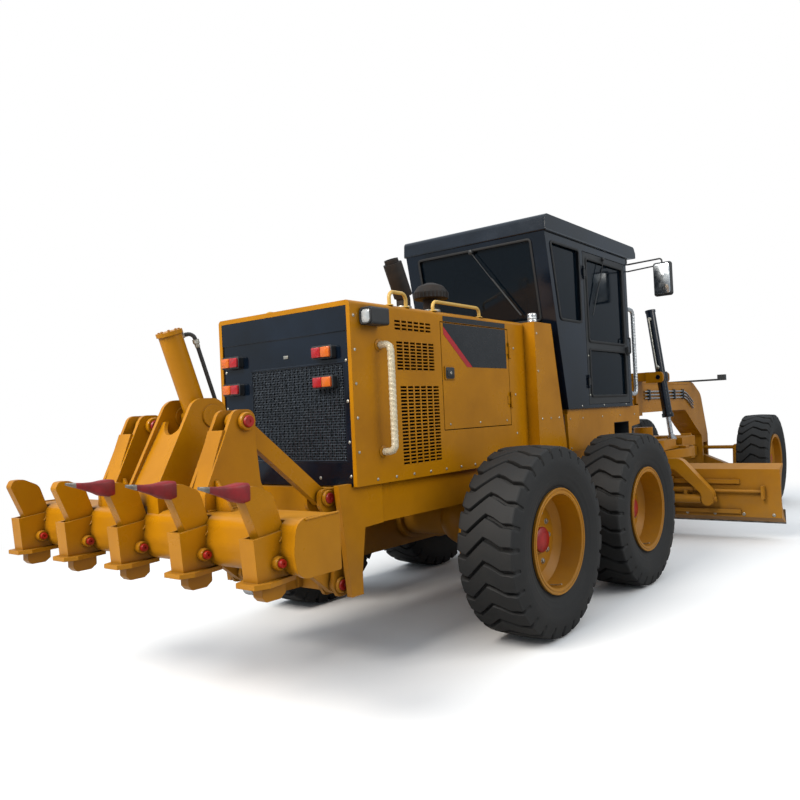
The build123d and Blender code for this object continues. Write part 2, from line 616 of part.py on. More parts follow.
def pocket(x):
    """Shank pocket welded to the beam's back: two cheeks, a rear plate, a sloped flange and its pin."""
    half = SHANK_T / 2 + 2
    y0, y1 = BEAM_Y1 - 60, BEAM_Y1 + 110
    z0, z1 = BEAM_Z0 + 6, BEAM_Z1 - 60
    cheek = plate_x([(y0, z0), (y1, z0 - 8), (y1 + 14, z1 - 4), (y0, z1 + 20)], x + half, x + half + 16)
    other = Pos(-2 * half - 16, 0, 0) * cheek
    rear = plate_x([(y1 - 6, z0 - 8), (y1 + 12, z0 - 8), (y1 + 26, z1 - 4), (y1 + 8, z1 - 4)],
                   x - half - 16, x + half + 16)
    front = block(x - half - 16, x + half + 16, y0 - 12, y0 + 8, z0, z1 + 20)
    flange = plate_z(
        [(x - 52, y0 - 20), (x - 88, y1 - 20), (x - 60, y1 + 42), (x + 60, y1 + 42), (x + 88, y1 - 20), (x + 52, y0 - 20)],
        z0 - 26, z0 - 4)
    flange -= block(x - half, x + half, y0 + 10, y1 - 8, z0 - 60, z0 + 10)
    return cheek + other + rear + front + flange


def pocket_xs():
    return [POCKET_STEP * (i - 2) for i in range(5)]


def make_ripper():
    carrier = beam()
    for x in pocket_xs():
        carrier += pocket(x)
    carrier += both(side_tower()) + centre_tower()
    for x in pocket_xs():
        half = SHANK_T / 2 + 2
        carrier -= block(x - half, x + half, BEAM_Y1 - 50, BEAM_Y1 + 100, BEAM_Z0 - 40, BEAM_Z1 + 20)
        carrier += bar_x(x - half - 40, x + half + 40, SHANK_PIN_Y, SHANK_PIN_Z, SHANK_PIN_R)
    carrier += bar_x(-RAM_PIN_X, -106, RAM_Y, RAM_Z, 62) + bar_x(106, RAM_PIN_X, RAM_Y, RAM_Z, 62)
    carrier -= bar_x(-RAM_PIN_X - 5, RAM_PIN_X + 5, RAM_Y, RAM_Z, RAM_PIN_R + PIN_FIT)
    keep("ripper_carrier", carrier)
    ripper_links(RIPPER_UP_Y, RIPPER_UP_Z, "ripper_upper_links", 92)
    ripper_links(RIPPER_LOW_Y, RIPPER_LOW_Z, "ripper_lower_links", 104)


def shank(x):
    """Curved shank stored point upwards: straight in its pocket, leaning back and rounded above it."""
    y0, y1 = BEAM_Y1 - 38, BEAM_Y1 + 88
    outline = [(y0, 762), (y0 + 30, 740), (y1 - 20, 740), (y1, 762), (y1 + 2, 1010), (y1 + 78, 1200), (y1 + 60, 1235),
               (y1 + 10, 1238), (y0 + 50, 1195), (y0, 1040)]
    body = plate_x(outline, x - SHANK_T / 2, x + SHANK_T / 2, [10, 10, 10, 10, 120, 24, 20, 50, 60, 120])
    return body - bar_x(x - SHANK_T, x + SHANK_T, SHANK_PIN_Y, SHANK_PIN_Z, SHANK_PIN_R + PIN_FIT)


def make_shanks():
    keep("ripper_shanks", *[shank(x) for x in pocket_xs()])
    teeth = []
    y = BEAM_Y1 + 140
    for x in pocket_xs()[:3]:
        root = Plane(origin=(x, y, 1210), z_dir=(0, 1, 0.12)) * Rectangle(SHANK_T + 12, 62)
        tip = Plane(origin=(x, y + 212, 1262), z_dir=(0, 1, 0.12)) * Rectangle(14, 10)
        teeth.append(loft([root.face(), tip.face()]) - shank(x))
    keep("ripper_teeth", *teeth)


def ram_direction():
    dy, dz = RAM_Y - RAM_FOOT_Y, RAM_Z - RAM_FOOT_Z
    length = math.hypot(dy, dz)
    return dy / length, dz / length, length


def make_ripper_ram():
    dy, dz, length = ram_direction()

    def at(distance):
        return (0, RAM_Y + dy * distance, RAM_Z + dz * distance)

    barrel = bar(at(-470), at(485), 62)
    barrel += bar(at(470), at(492), 70)
    barrel -= bar(at(-480), at(470), 46)
    barrel += bar(at(-490), at(-455), 66) - bar(at(-500), at(-450), 32 + PIN_FIT)
    trunnion = bar_x(-RAM_PIN_X, RAM_PIN_X, RAM_Y, RAM_Z, RAM_PIN_R)
    barrel += trunnion - bar(at(-60), at(60), 50)
    keep("ripper_barrel", barrel)
    rod = bar(at(-length), at(-length + 690), 32)
    rod += bar_x(-40, 40, RAM_FOOT_Y, RAM_FOOT_Z, 58)
    rod += bar(at(-length + 662), at(-length + 690), 45.5)
    slot = SlotCenterToCenter(2 * RAM_FOOT_PLAY, 2 * RAM_FOOT_PIN_R + 24)
    slot = extrude(Plane.YZ.offset(-50) * Rot(0, 0, math.degrees(math.atan2(dz, dy))) * slot, amount=100)
    rod -= Pos(0, RAM_FOOT_Y, RAM_FOOT_Z) * slot
    keep("ripper_rod", rod)
    keep("ripper_hose", make_ripper_hose() - bar(at(-500), at(500), 62))


def make_ripper_hose():
    """Hose along the front of the ripper cylinder, from the port at its head to the one at its foot."""
    dy, dz, length = ram_direction()

    def at(distance, x, ahead):
        return (x, RAM_Y + dy * distance - dz * ahead, RAM_Z + dz * distance + dy * ahead)

    return handrail([at(452, -30, 44), at(452, -66, 96), at(-425, -66, 96), at(-425, -30, 44)], 34, 11)


# ---------------------------------------------------------------- front frame
def make_front_frame():
    """Box-beam gooseneck: low under the cab, arched over the circle, down to the axle at its nose."""
    axle_y = -WHEELBASE
    rear = HITCH_Y - 135
    outline = [
        (rear, HITCH_Z0 + 40), (rear, DECK_Z), (-2160, DECK_Z), (-2740, 1770), (-5480, 1770),
        (-5820, 1600), (axle_y - 140, 1000), (axle_y - 140, 480), (axle_y - 90, 480), (axle_y - 90, 880),
        (axle_y + 90, 880), (axle_y + 90, 480), (axle_y + 140, 480), (axle_y + 140, 980), (-5480, 1150),
        (-5100, 1385), (-2850, 1385), (-2050, 960), (-1300, HITCH_Z0 + 40),
    ]
    radii = [0, 0, 250, 350, 250, 200, 60, 20, 20, 0, 0, 20, 20, 60, 150, 200, 400, 300, 200]
    frame = plate_x(outline, -FRAME_HALF, FRAME_HALF, radii)
    frame += Pos(0, HITCH_Y, (HITCH_Z0 + HITCH_Z1) / 2) * Cylinder(HITCH_EYE_R, HITCH_Z1 - HITCH_Z0)
    frame += block(-100, 100, rear, HITCH_Y - 80, HITCH_Z0, HITCH_Z1)
    frame -= bar((0, HITCH_Y, HITCH_Z0 - 5), (0, HITCH_Y, HITCH_Z1 + 5), HITCH_PIN_R + PIN_FIT)
    frame += bar((0, axle_y - 150, AXLE_PIVOT_Z), (0, axle_y + 150, AXLE_PIVOT_Z), 40)
    frame += block(-70, 70, axle_y + 120, BALL_Y - 95, BALL_Z - 70, BALL_Z + 70)
    frame += bar((0, BALL_Y - 100, BALL_Z), (0, BALL_Y, BALL_Z), 36)
    frame += Pos(0, BALL_Y, BALL_Z) * Sphere(BALL_R)
    for x in (-PLATE_BOLT_X, PLATE_BOLT_X):
        for z in (AXLE_PLATE_Z - PLATE_BOLT_Z, AXLE_PLATE_Z + PLATE_BOLT_Z):
            frame -= bar((x, axle_y - 150, z), (x, axle_y - 95, z), PLATE_BOLT_R)
    keep("front_frame", frame + saddle())


def lift_x(z):
    """How far out the lift cylinders' axes are at a height."""
    return LIFT_FOOT_X - LIFT_LEAN * (z - LIFT_FOOT_Z)


def saddle():
    """Lift arms: a saddle over the frame with a yoke at each end for the lift cylinders."""
    z = LIFT_YOKE_Z
    x = lift_x(z)
    reach = x - 94
    piece = block(-reach, reach, LIFT_Y - 90, LIFT_Y + 90, 1765, 1866)
    piece += both(block(FRAME_HALF - 2, FRAME_HALF + 32, LIFT_Y - 110, LIFT_Y + 110, 1500, 1800))
    piece += block(-FRAME_HALF - 32, FRAME_HALF + 32, LIFT_Y - 60, LIFT_Y + 60, 1350, 1390)
    piece += both(block(FRAME_HALF - 2, FRAME_HALF + 32, LIFT_Y - 60, LIFT_Y + 60, 1350, 1510))
    fork = plate_y(
        [(reach - 60, 1776), (reach - 60, 1866), (x + 60, z + 62), (x + 60, z - 62), (reach - 60, z - 62)],
        LIFT_Y - 112, LIFT_Y - 84, [0, 0, 40, 40, 0])
    piece += both(fork + Pos(0, 196, 0) * fork)
    piece += both(block(reach - 60, reach - 20, LIFT_Y - 112, LIFT_Y + 112, z - 62, 1866))
    return piece - both(bar((x, LIFT_Y - 130, z), (x, LIFT_Y + 130, z), 26 + PIN_FIT))


def lift_axis(distance):
    """Point on the left lift cylinder's axis, measured up from the yoke."""
    tilt = math.hypot(1, LIFT_LEAN)
    z = LIFT_YOKE_Z + distance / tilt
    return (lift_x(z), LIFT_Y, z)


def make_lift_cylinders():
    foot = math.hypot(1, LIFT_LEAN) * (LIFT_YOKE_Z - LIFT_FOOT_Z)
    top = math.hypot(1, LIFT_LEAN) * (LIFT_TOP_Z - LIFT_YOKE_Z)
    for side, sign in SIDES:
        barrel = bar(lift_axis(-460), lift_axis(top), 56)
        barrel += bar(lift_axis(-478), lift_axis(-440), 64) + bar(lift_axis(top - 20), lift_axis(top + 8), 62)
        x = lift_x(LIFT_YOKE_Z)
        barrel += bar((x, LIFT_Y - 118, LIFT_YOKE_Z), (x, LIFT_Y + 118, LIFT_YOKE_Z), 26)
        barrel += bar(lift_axis(-55), lift_axis(55), 76)
        barrel -= bar(lift_axis(-445), lift_axis(top - 30), 42)
        barrel -= bar(lift_axis(-500), lift_axis(-430), 28 + PIN_FIT)
        cap = LIFT_BALL_R + 4 - foot
        rod = bar(lift_axis(cap), lift_axis(-foot + 1120), 28)
        rod += bar(lift_axis(-foot + 1090), lift_axis(-foot + 1120), 41.5)
        rod += bar(lift_axis(cap), lift_axis(cap + 34), 56) + bar(lift_axis(cap + 30), lift_axis(cap + 60), 40)
        for name, piece in (("lift_barrel", barrel), ("lift_rod", rod)):
            keep(f"{name}_{side}", mirrored(piece) if sign < 0 else piece)


# ---------------------------------------------------------------- front axle
def make_front_axle():
    """Axle beam, pivoted at its middle, with a round eye for each lean yoke."""
    y = -WHEELBASE
    half = [(-120, 560), (-LEAN_X + 120, LEAN_Z - 56), (-LEAN_X, LEAN_Z - 50), (-LEAN_X, LEAN_Z + 50),
            (-LEAN_X + 120, LEAN_Z + 66), (-130, 700)]
    outline = half + [(-px, pz) for px, pz in reversed(half)]
    radii = [60, 60, 0, 0, 60, 60, 60, 60, 0, 0, 60, 60]
    piece = plate_y(outline, y - 62, y + 62, radii)
    piece += both(bar((LEAN_X, y - 62, LEAN_Z), (LEAN_X, y + 62, LEAN_Z), 54))
    piece -= bar((0, y - 100, AXLE_PIVOT_Z), (0, y + 100, AXLE_PIVOT_Z), 40 + PIN_FIT)
    piece -= both(bar((LEAN_X, y - 100, LEAN_Z), (LEAN_X, y + 100, LEAN_Z), 34 + PIN_FIT))
    keep("front_axle", piece)


def lean_yoke():
    """Left-hand yoke: cheeks on the axle's eye, up to the lean bar, with the kingpin outboard."""
    y = -WHEELBASE
    cheek = plate_y(
        [(LEAN_X - 54, LEAN_Z - 56), (LEAN_X + 84, LEAN_Z - 56), (LEAN_X + 84, LEAN_BAR_Z + 10),
         (LEAN_X + 40, LEAN_BAR_Z + 48), (LEAN_X - 44, LEAN_BAR_Z + 48), (LEAN_X - 54, LEAN_Z + 60)],
        y - 92, y - 68, [50, 10, 20, 40, 40, 60])
    yoke = cheek + Pos(0, 160, 0) * cheek
    yoke += block(LEAN_X + 64, LEAN_X + 84, y - 92, y + 92, LEAN_Z - 50, LEAN_BAR_Z)
    for z0, z1 in ((500, 536), (724, 760)):
        yoke += block(LEAN_X + 70, KINGPIN_X, y - 48, y + 48, z0, z1)
        yoke += Pos(KINGPIN_X, y, (z0 + z1) / 2) * Cylinder(48, z1 - z0)
    yoke += bar((LEAN_X, y - 96, LEAN_Z), (LEAN_X, y + 96, LEAN_Z), 34)
    yoke += bar((LEAN_X, y - 96, LEAN_BAR_Z), (LEAN_X, y + 96, LEAN_BAR_Z), LEAN_BAR_PIN_R)
    yoke += bar((KINGPIN_X, y, 490), (KINGPIN_X, y, 770), KINGPIN_R)
    return yoke


def knuckle():
    """Left-hand steering knuckle: a boss on the kingpin with the wheel spindle."""
    y = -WHEELBASE
    piece = bar((KINGPIN_X, y, 536 + GAP / 2), (KINGPIN_X, y, 724 - GAP / 2), 54)
    end_x = FRONT_WHEEL_X + RIM_W / 2 - FRONT_DISC_DEPTH - 10 - SEAT
    piece += bar_x(KINGPIN_X, end_x - 40, y, TYRE_R, 62)
    piece += bar_x(KINGPIN_X, end_x, y, TYRE_R, 50)
    piece += block(KINGPIN_X - 16, KINGPIN_X + 16, y + 30, y + 60, 570, 606)
    return piece - bar((KINGPIN_X, y, 500), (KINGPIN_X, y, 760), KINGPIN_R + PIN_FIT)


def make_steering():
    y = -WHEELBASE
    for side, sign in SIDES:
        for name, piece in (("lean_yoke", lean_yoke()), ("knuckle", knuckle())):
            keep(f"{name}_{side}", mirrored(piece) if sign < 0 else piece)
    tie = bar_x(-LEAN_X, LEAN_X, y, LEAN_BAR_Z, 26)
    tie += both(bar((LEAN_X, y - 60, LEAN_BAR_Z), (LEAN_X, y + 60, LEAN_BAR_Z), 38))
    slot = bar((LEAN_X, y - 80, LEAN_BAR_Z), (LEAN_X, y + 80, LEAN_BAR_Z), LEAN_BAR_PIN_R + PIN_FIT)
    keep("lean_bar", tie - both(slot))


# ---------------------------------------------------------------- drawbar, circle and moldboard
def strut(start, end, width, height):
    """Box-section beam between two points, its width level."""
    start, end = Vector(*start), Vector(*end)
    along = end - start
    level = along.cross(Vector(0, 0, 1)).normalized()
    return extrude(Plane(origin=start, x_dir=level, z_dir=along) * Rectangle(width, height), amount=along.length)


def circle_shoe():
    """Shoe on the left that rides on the ring's top and grips its inner edge from below."""
    z0 = CIRCLE_Z + CIRCLE_T
    top = block(SHOE_R, CIRCLE_R - 40, -60, 60, z0 + SEAT, z0 + 30)
    web = block(SHOE_R, CIRCLE_INNER_R - 10, -60, 60, CIRCLE_Z - 26, z0 + 30)
    lip = block(SHOE_R, CIRCLE_INNER_R + 40, -60, 60, CIRCLE_Z - 26, CIRCLE_Z - SEAT)
    return top + web + lip


def make_drawbar():
    z0 = CIRCLE_Z + CIRCLE_T + 8
    z1 = z0 + DRAWBAR_T
    cup = block(-92, 92, BALL_Y - 60, BALL_Y + 110, BALL_Z - 88, BALL_Z + 88)
    knee = (95, BALL_Y + 230, BALL_Z + 125)
    arms = both(strut((40, BALL_Y + 70, BALL_Z + 10), knee, 130, 130))
    arms += both(strut(knee, (500, CIRCLE_Y - 620, z0 + 74), 130, 130))
    plate = plate_z(
        [(-640, CIRCLE_Y - 560), (-420, CIRCLE_Y - 720), (420, CIRCLE_Y - 720), (640, CIRCLE_Y - 560),
         (640, CIRCLE_Y + 560), (420, CIRCLE_Y + 720), (-420, CIRCLE_Y + 720), (-640, CIRCLE_Y + 560)],
        z0, z1, 80)
    plate -= Pos(0, CIRCLE_Y + 30, z0) * Box(900, 1020, 600)
    drive = bar((0, CIRCLE_Y - 470, z0), (0, CIRCLE_Y - 470, z1 + 120), 120)
    drive += block(-170, 170, CIRCLE_Y - 620, CIRCLE_Y - 380, z0, z1)
    studs = None
    for sign in (-1, 1):
        stud = bar((sign * 600, LIFT_Y, LIFT_FOOT_Z - 45), (sign * LIFT_FOOT_X, LIFT_Y, LIFT_FOOT_Z - 20), 22)
        ball = Pos(sign * LIFT_FOOT_X, LIFT_Y, LIFT_FOOT_Z) * Sphere(LIFT_BALL_R)
        studs = stud + ball if studs is None else studs + stud + ball
    drawbar = cup + arms + plate + drive
    for turn in (0, 90, 180, 270):
        drawbar += Pos(0, CIRCLE_Y, 0) * Rot(0, 0, turn) * circle_shoe()
    drawbar -= both(block(LIFT_FOOT_X - 90, LIFT_FOOT_X + 90, LIFT_Y - 105, LIFT_Y + 105, z0 + 26, z1 + 40))
    drawbar -= block(-FRAME_HALF - 40, FRAME_HALF + 40, CIRCLE_Y + 560, CIRCLE_Y + 730, z1 - 28, z1 + 5)
    drawbar += studs
    drawbar += both(bar((LIFT_FOOT_X, LIFT_Y, z0 + 10), (LIFT_FOOT_X, LIFT_Y, LIFT_FOOT_Z), 20))
    drawbar -= Pos(0, BALL_Y, BALL_Z) * Sphere(BALL_R + PIN_FIT)
    drawbar -= block(-42, 42, BALL_Y - 120, BALL_Y, BALL_Z - 80, BALL_Z + 80)
    keep("drawbar", drawbar)


def blade_arm():
    """Left-hand arm: a broad band that leaves the ring level, then bends down and outwards."""
    return plate_y(
        [(ARM_TOP_X - 140, CIRCLE_Z + 20), (ARM_TOP_X + 290, CIRCLE_Z + 20), (ARM_LOW_X + 62, 520),
         (ARM_LOW_X + 62, 375), (ARM_LOW_X - 62, 375), (ARM_LOW_X - 62, 500), (ARM_TOP_X + 210, CIRCLE_Z - 95),
         (ARM_TOP_X - 140, CIRCLE_Z - 95)],
        TIP_Y - ARM_HALF_T, TIP_Y + ARM_HALF_T, [0, 120, 80, 60, 60, 80, 80, 0])


def make_circle():
    ring = Pos(0, CIRCLE_Y, CIRCLE_Z + CIRCLE_T / 2) * Cylinder(CIRCLE_R, CIRCLE_T)
    ring -= Pos(0, CIRCLE_Y, CIRCLE_Z + CIRCLE_T / 2) * Cylinder(CIRCLE_INNER_R, CIRCLE_T + 10)
    ring += both(blade_arm())
    ring -= both(bar_x(ARM_LOW_X - 90, ARM_LOW_X + 90, TIP_Y, TIP_Z, 30 + PIN_FIT))
    keep("circle", ring)


def make_moldboard():
    """Moldboard, hollow-faced in front and flat behind, with slide rails; cutting edge below."""
    half = BLADE_W / 2
    top = BLADE_BOTTOM_Z + BLADE_H
    drop = BLADE_ARC_R - math.sqrt(BLADE_ARC_R ** 2 - (BLADE_H / 2) ** 2)
    front = BLADE_BACK_Y - BLADE_T
    toe = front - drop
    outline = ThreePointArc((toe, BLADE_BOTTOM_Z), (front, (BLADE_BOTTOM_Z + top) / 2), (toe, top))
    outline += Polyline((toe, top), (toe + 18, top + 12), (BLADE_BACK_Y, top - 40),
                        (BLADE_BACK_Y, BLADE_BOTTOM_Z + 60), (toe + 26, BLADE_BOTTOM_Z), (toe, BLADE_BOTTOM_Z))
    body = extrude(Plane.YZ.offset(-half) * make_face(outline), amount=2 * half)
    for z in BLADE_RAILS:
        body += block(-1420, 1420, BLADE_BACK_Y - 6, BLADE_BACK_Y + 34, z - 22, z + 22)
    body += block(-SHIFT_EYE_X - 26, -SHIFT_EYE_X, BLADE_BACK_Y - 2, SHIFT_ROD_Y + 40, 440, 580)
    inner_end = SHIFT_STROKE + 60 - SHIFT_BARREL_X
    body += bar_x(-SHIFT_EYE_X - 20, inner_end, SHIFT_ROD_Y, SHIFT_ROD_Z, 18)
    body += bar_x(inner_end - 24, inner_end, SHIFT_ROD_Y, SHIFT_ROD_Z, 26)
    keep("moldboard", body)
    edge = block(-half, half, toe - EDGE_T - SEAT, toe - SEAT, BLADE_BOTTOM_Z - 20, BLADE_BOTTOM_Z + EDGE_H - 20)
    keep("cutting_edge", edge)


def make_blade_bracket():
    """Tipping bracket between the arms: a tube, two cheeks that grip the rails, the side-shift barrel."""
    bracket = bar_x(-ARM_LOW_X + 75, ARM_LOW_X - 75, TIP_Y, TIP_Z, 48)
    bracket += bar_x(-ARM_LOW_X - 80, ARM_LOW_X + 80, TIP_Y, TIP_Z, 30)
    grip = BLADE_BACK_Y + 34 + SEAT
    cheek = plate_x([(grip, 250), (grip + 30, 250), (TIP_Y + 52, TIP_Z - 40), (TIP_Y + 52, TIP_Z + 40),
                     (grip + 30, 670), (grip, 670)], 595, 685, [0, 0, 30, 30, 0, 0])
    for z in BLADE_RAILS:
        cheek += block(580, 700, grip, grip + 26, z - 50, z + 50)
        for z0, z1 in ((z + 22 + SEAT, z + 50), (z - 50, z - 22 - SEAT)):
            cheek += block(580, 700, BLADE_BACK_Y + 6, grip + 26, z0, z1)
    bracket += both(cheek)
    open_end, closed_end = -SHIFT_BARREL_X, SHIFT_STROKE + 110 - SHIFT_BARREL_X + SHIFT_STROKE
    bracket += bar_x(open_end, closed_end, SHIFT_ROD_Y, SHIFT_ROD_Z, 38)
    for x in (open_end + 60, closed_end - 60):
        bracket += block(x - 20, x + 20, SHIFT_ROD_Y, TIP_Y, TIP_Z - 10, SHIFT_ROD_Z + 10)
    bracket -= bar_x(open_end + 20, closed_end - 20, SHIFT_ROD_Y, SHIFT_ROD_Z, 26.5)
    bracket -= bar_x(open_end - 5, open_end + 30, SHIFT_ROD_Y, SHIFT_ROD_Z, 18 + PIN_FIT)
    keep("blade_bracket", bracket)


# ---------------------------------------------------------------- cab
def cab_profile(grow=0.0):
    """Side outline of the cab: upright in front, leaning back behind."""
    return [(CAB_REAR_LOW_Y - grow, CAB_Z0 + grow), (CAB_REAR_TOP_Y - grow * 1.02, CAB_Z1 - grow),
            (CAB_FRONT_Y + grow, CAB_Z1 - grow), (CAB_FRONT_Y + grow, CAB_Z0 + grow)]


DOOR_FRONT = CAB_FRONT_Y + 62
DOOR_REAR = B_POST_Y - 12
DOOR_LOW = CAB_Z0 + 30
DOOR_HIGH = CAB_Z1 - 65
DOOR_LIGHTS = (
    (DOOR_FRONT + 60, DOOR_REAR - 60, 2080, DOOR_HIGH - 60),
    (DOOR_FRONT + 60, DOOR_REAR - 60, DOOR_LOW + 75, 2010),
)
REAR_LIGHT = (590, 2240, 2900)    # half width, z from, z to
FRONT_LIGHT = (640, 1640, 2890)


def side_light(shrink):
    """Outline of the window behind the door, in (y, z)."""
    y0, z0, z1 = B_POST_Y + 62 + shrink, 2240 + shrink, 2875 - shrink
    return [(y0, z0), (y0, z1), (CAB_REAR_TOP_Y - 90 - shrink, z1), (CAB_REAR_TOP_Y - 215 - shrink, z0)]


def make_cab():
    shell = plate_x(cab_profile(), -CAB_X, CAB_X)
    shell -= plate_x(cab_profile(CAB_WALL), -CAB_X + CAB_WALL, CAB_X - CAB_WALL)
    x, z0, z1 = REAR_LIGHT
    shell -= block(-x, x, CAB_REAR_LOW_Y - 60, 0, z0, z1)
    x, z0, z1 = FRONT_LIGHT
    shell -= block(-x, x, CAB_FRONT_Y - 10, CAB_FRONT_Y + CAB_WALL + 10, z0, z1)
    doorway = [(DOOR_REAR, DOOR_LOW), (DOOR_REAR, DOOR_HIGH), (DOOR_FRONT, DOOR_HIGH), (DOOR_FRONT, DOOR_LOW)]
    shell -= both(plate_x(doorway, CAB_X - CAB_WALL - 10, CAB_X + 10))
    shell -= both(plate_x(side_light(0), CAB_X - CAB_WALL - 10, CAB_X + 10, 30))
    keep("cab_shell", shell + both(make_doors()))


def make_roof():
    outline = [(ROOF_REAR_Y, CAB_Z1 + SEAT), (ROOF_REAR_Y - 10, CAB_Z1 + ROOF_T), (ROOF_FRONT_Y + 40, CAB_Z1 + ROOF_T),
               (ROOF_FRONT_Y, CAB_Z1 + ROOF_T - 60), (ROOF_FRONT_Y, CAB_Z1 + 30), (CAB_FRONT_Y, CAB_Z1 + SEAT)]
    roof = plate_x(outline, -ROOF_X, ROOF_X, [10, 40, 40, 10, 20, 10])
    keep("cab_roof", roof)


def make_cab_glass():
    slope = (CAB_REAR_TOP_Y - CAB_REAR_LOW_Y) / (CAB_Z1 - CAB_Z0)

    def rear_y(z):
        return CAB_REAR_LOW_Y + slope * (z - CAB_Z0) - 24

    z0, z1 = REAR_LIGHT[1] + SEAT, REAR_LIGHT[2] - SEAT
    x = REAR_LIGHT[0] - SEAT
    rear = plate_x([(rear_y(z0), z0), (rear_y(z1), z1), (rear_y(z1) + GLASS_T, z1), (rear_y(z0) + GLASS_T, z0)], -x, x)
    x, z0, z1 = FRONT_LIGHT[0] - SEAT, FRONT_LIGHT[1] + SEAT, FRONT_LIGHT[2] - SEAT
    front = block(-x, x, CAB_FRONT_Y + 20, CAB_FRONT_Y + 20 + GLASS_T, z0, z1)
    side = plate_x(side_light(SEAT), CAB_X - 20 - GLASS_T, CAB_X - 20, 30)
    keep("cab_glass", rear, front, side, mirrored(side))


def cab_door():
    """Left door: a frame with an upper and a lower light, hinged on the post behind it."""
    g = DOOR_GAP
    x0, x1 = CAB_X - 40, CAB_X
    frame = block(x0, x1, DOOR_FRONT + g, DOOR_REAR - g, DOOR_LOW + g, DOOR_HIGH - g)
    for y0, y1, z0, z1 in DOOR_LIGHTS:
        frame -= block(x0 - 5, x1 + 5, y0, y1, z0, z1)
    return frame + block(x1, x1 + 22, DOOR_FRONT + 20, DOOR_FRONT + 50, 1980, 2060)


def make_doors():
    frame = cab_door()
    leaves = None
    for z in CAB_HINGES:
        fixed, moving = hinge(CAB_X, DOOR_REAR, z, 120, DOOR_REAR + 34, DOOR_REAR - 50)
        leaves = fixed if leaves is None else leaves + fixed
        frame += moving
    panes = []
    for y0, y1, z0, z1 in DOOR_LIGHTS:
        panes.append(block(CAB_X - 24, CAB_X - 24 + GLASS_T, y0 + SEAT, y1 - SEAT, z0 + SEAT, z1 - SEAT))
    keep("cab_door_right", mirrored(frame))
    keep("cab_door_left", frame)
    keep("door_glass_right", *[mirrored(pane) for pane in panes])
    keep("door_glass_left", *panes)
    return leaves


def make_cab_base():
    """Floor and yellow skirts under the cab, with a step recess and a hanging step each side."""
    floor = block(-BASE_X, BASE_X, BASE_FRONT_Y, -520, DECK_Z + SEAT, CAB_Z0 - SEAT)
    skirt = plate_x(
        [(-520, BASE_Z0), (-505, DECK_Z + 5), (BASE_FRONT_Y, DECK_Z + 5), (BASE_FRONT_Y, 1300), (-1870, 1280),
         (-1850, BASE_Z0)],
        BASE_X - 26, BASE_X)
    skirt -= block(BASE_X - 30, BASE_X + 5, -1800, -1450, 1215, 1335)
    pocket_shelf = block(BASE_X - 200, BASE_X - 26, -1800, -1450, 1200, 1215)
    pocket_shelf += block(BASE_X - 200, BASE_X - 186, -1800, -1450, 1200, 1440)
    step = block(500, 640, -1620, -1420, 800, 815)
    step += block(500, 515, -1620, -1420, 815, 1215) + block(500, BASE_X - 20, -1620, -1420, 1200, 1215)
    keep("cab_base", floor + both(skirt + pocket_shelf + step))


LAMP_BAR_Y = -5420.0


def make_cab_fittings():
    seat = block(-250, 250, -1150, -720, 1900, 2010)
    seat += block(-240, 240, -760, -640, 2000, 2500)
    seat += block(-150, 150, -1080, -780, CAB_Z0 + CAB_WALL, 1905)
    console = block(-120, 120, -1700, -1560, CAB_Z0 + CAB_WALL, 2050)
    wheel = Pos(0, -1530, 2140) * Rot(-35, 0, 0) * Torus(190, 14)
    spoke = Pos(0, -1530, 2140) * Rot(-35, 0, 0) * Box(380, 24, 14)
    column = bar((0, -1620, 2020), (0, -1530, 2140), 22)
    keep("cab_interior", seat, console + wheel + spoke + column)
    root, bend, out = CAB_FRONT_Y - SEAT, CAB_FRONT_Y - 90, CAB_FRONT_Y - 160
    mirror_arm = handrail([(700, root, 2905), (700, bend, 2905), (1045, out, 2930), (1045, out, 2870)], 25, 8)
    mirror_arm += handrail([(700, root, 2835), (700, bend, 2835), (1045, out, 2868)], 25, 7)
    head = block(955, 1145, out - 30, out + 30, 2555, 2890)
    mirror_arm += fillet(head.edges(), 26)
    y0, y1 = CAB_FRONT_Y - SEAT, CAB_FRONT_Y - 158
    x = CAB_X - 20
    grab = handrail([(x, y0, 2450), (x, y1, 2450), (x, y1, 1600), (x, y0, 1600)], 60, 18)
    keep("cab_fittings", mirror_arm, mirrored(mirror_arm), grab, mirrored(grab))
    y = LAMP_BAR_Y
    lamp_bar = block(-640, 640, y - 20, y + 20, 1770 + SEAT, 1795)
    lamp_bar += both(block(540, 640, y - 45, y + 45, 1770 + SEAT, 1850))
    keep("front_lamps", lamp_bar)


# ---------------------------------------------------------------- build
def build():
    make_wheels()
    make_rear_frame()
    make_rear_axle()
    make_hood()
    make_guard()
    make_hood_fittings()
    make_handrails()
    make_stacks()
    make_tank()
    make_ripper()
    make_shanks()
    make_ripper_ram()
    make_front_frame()
    make_lift_cylinders()
    make_front_axle()
    make_steering()
    make_drawbar()
    make_circle()
    make_moldboard()
    make_blade_bracket()
    make_cab()
    make_roof()
    make_cab_glass()
    make_cab_base()
    make_cab_fittings()


def whole_span():
    """Lowest and highest Y of the whole machine."""
    boxes = [solid.bounding_box() for solids in parts.values() for solid in solids]
    return min(b.min.Y for b in boxes), max(b.max.Y for b in boxes)


build()
front_y, rear_y = whole_span()
ORIGIN_Y = (front_y + rear_y) / 2
os.makedirs("parts", exist_ok=True)
for name, solids in parts.items():
    placed = [Pos(0, -ORIGIN_Y, 0) * solid for solid in solids]
    shape = placed[0] if len(placed) == 1 else Compound(children=placed)
    export_step(shape, f"parts/{name}.step")
print("origin Y", round(ORIGIN_Y, 3), "nodes", len(parts))
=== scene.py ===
"""Looks of the motor grader: camera, light, materials and the fine pieces on the CAD frame.

Lengths are metres. Places are written with Y from the middle of the rear axles,
as in the part's source, and seat() moves them into the shared frame.
"""
import json
import math
import bmesh
import bpy
import numpy as np
from mathutils import Matrix, Vector


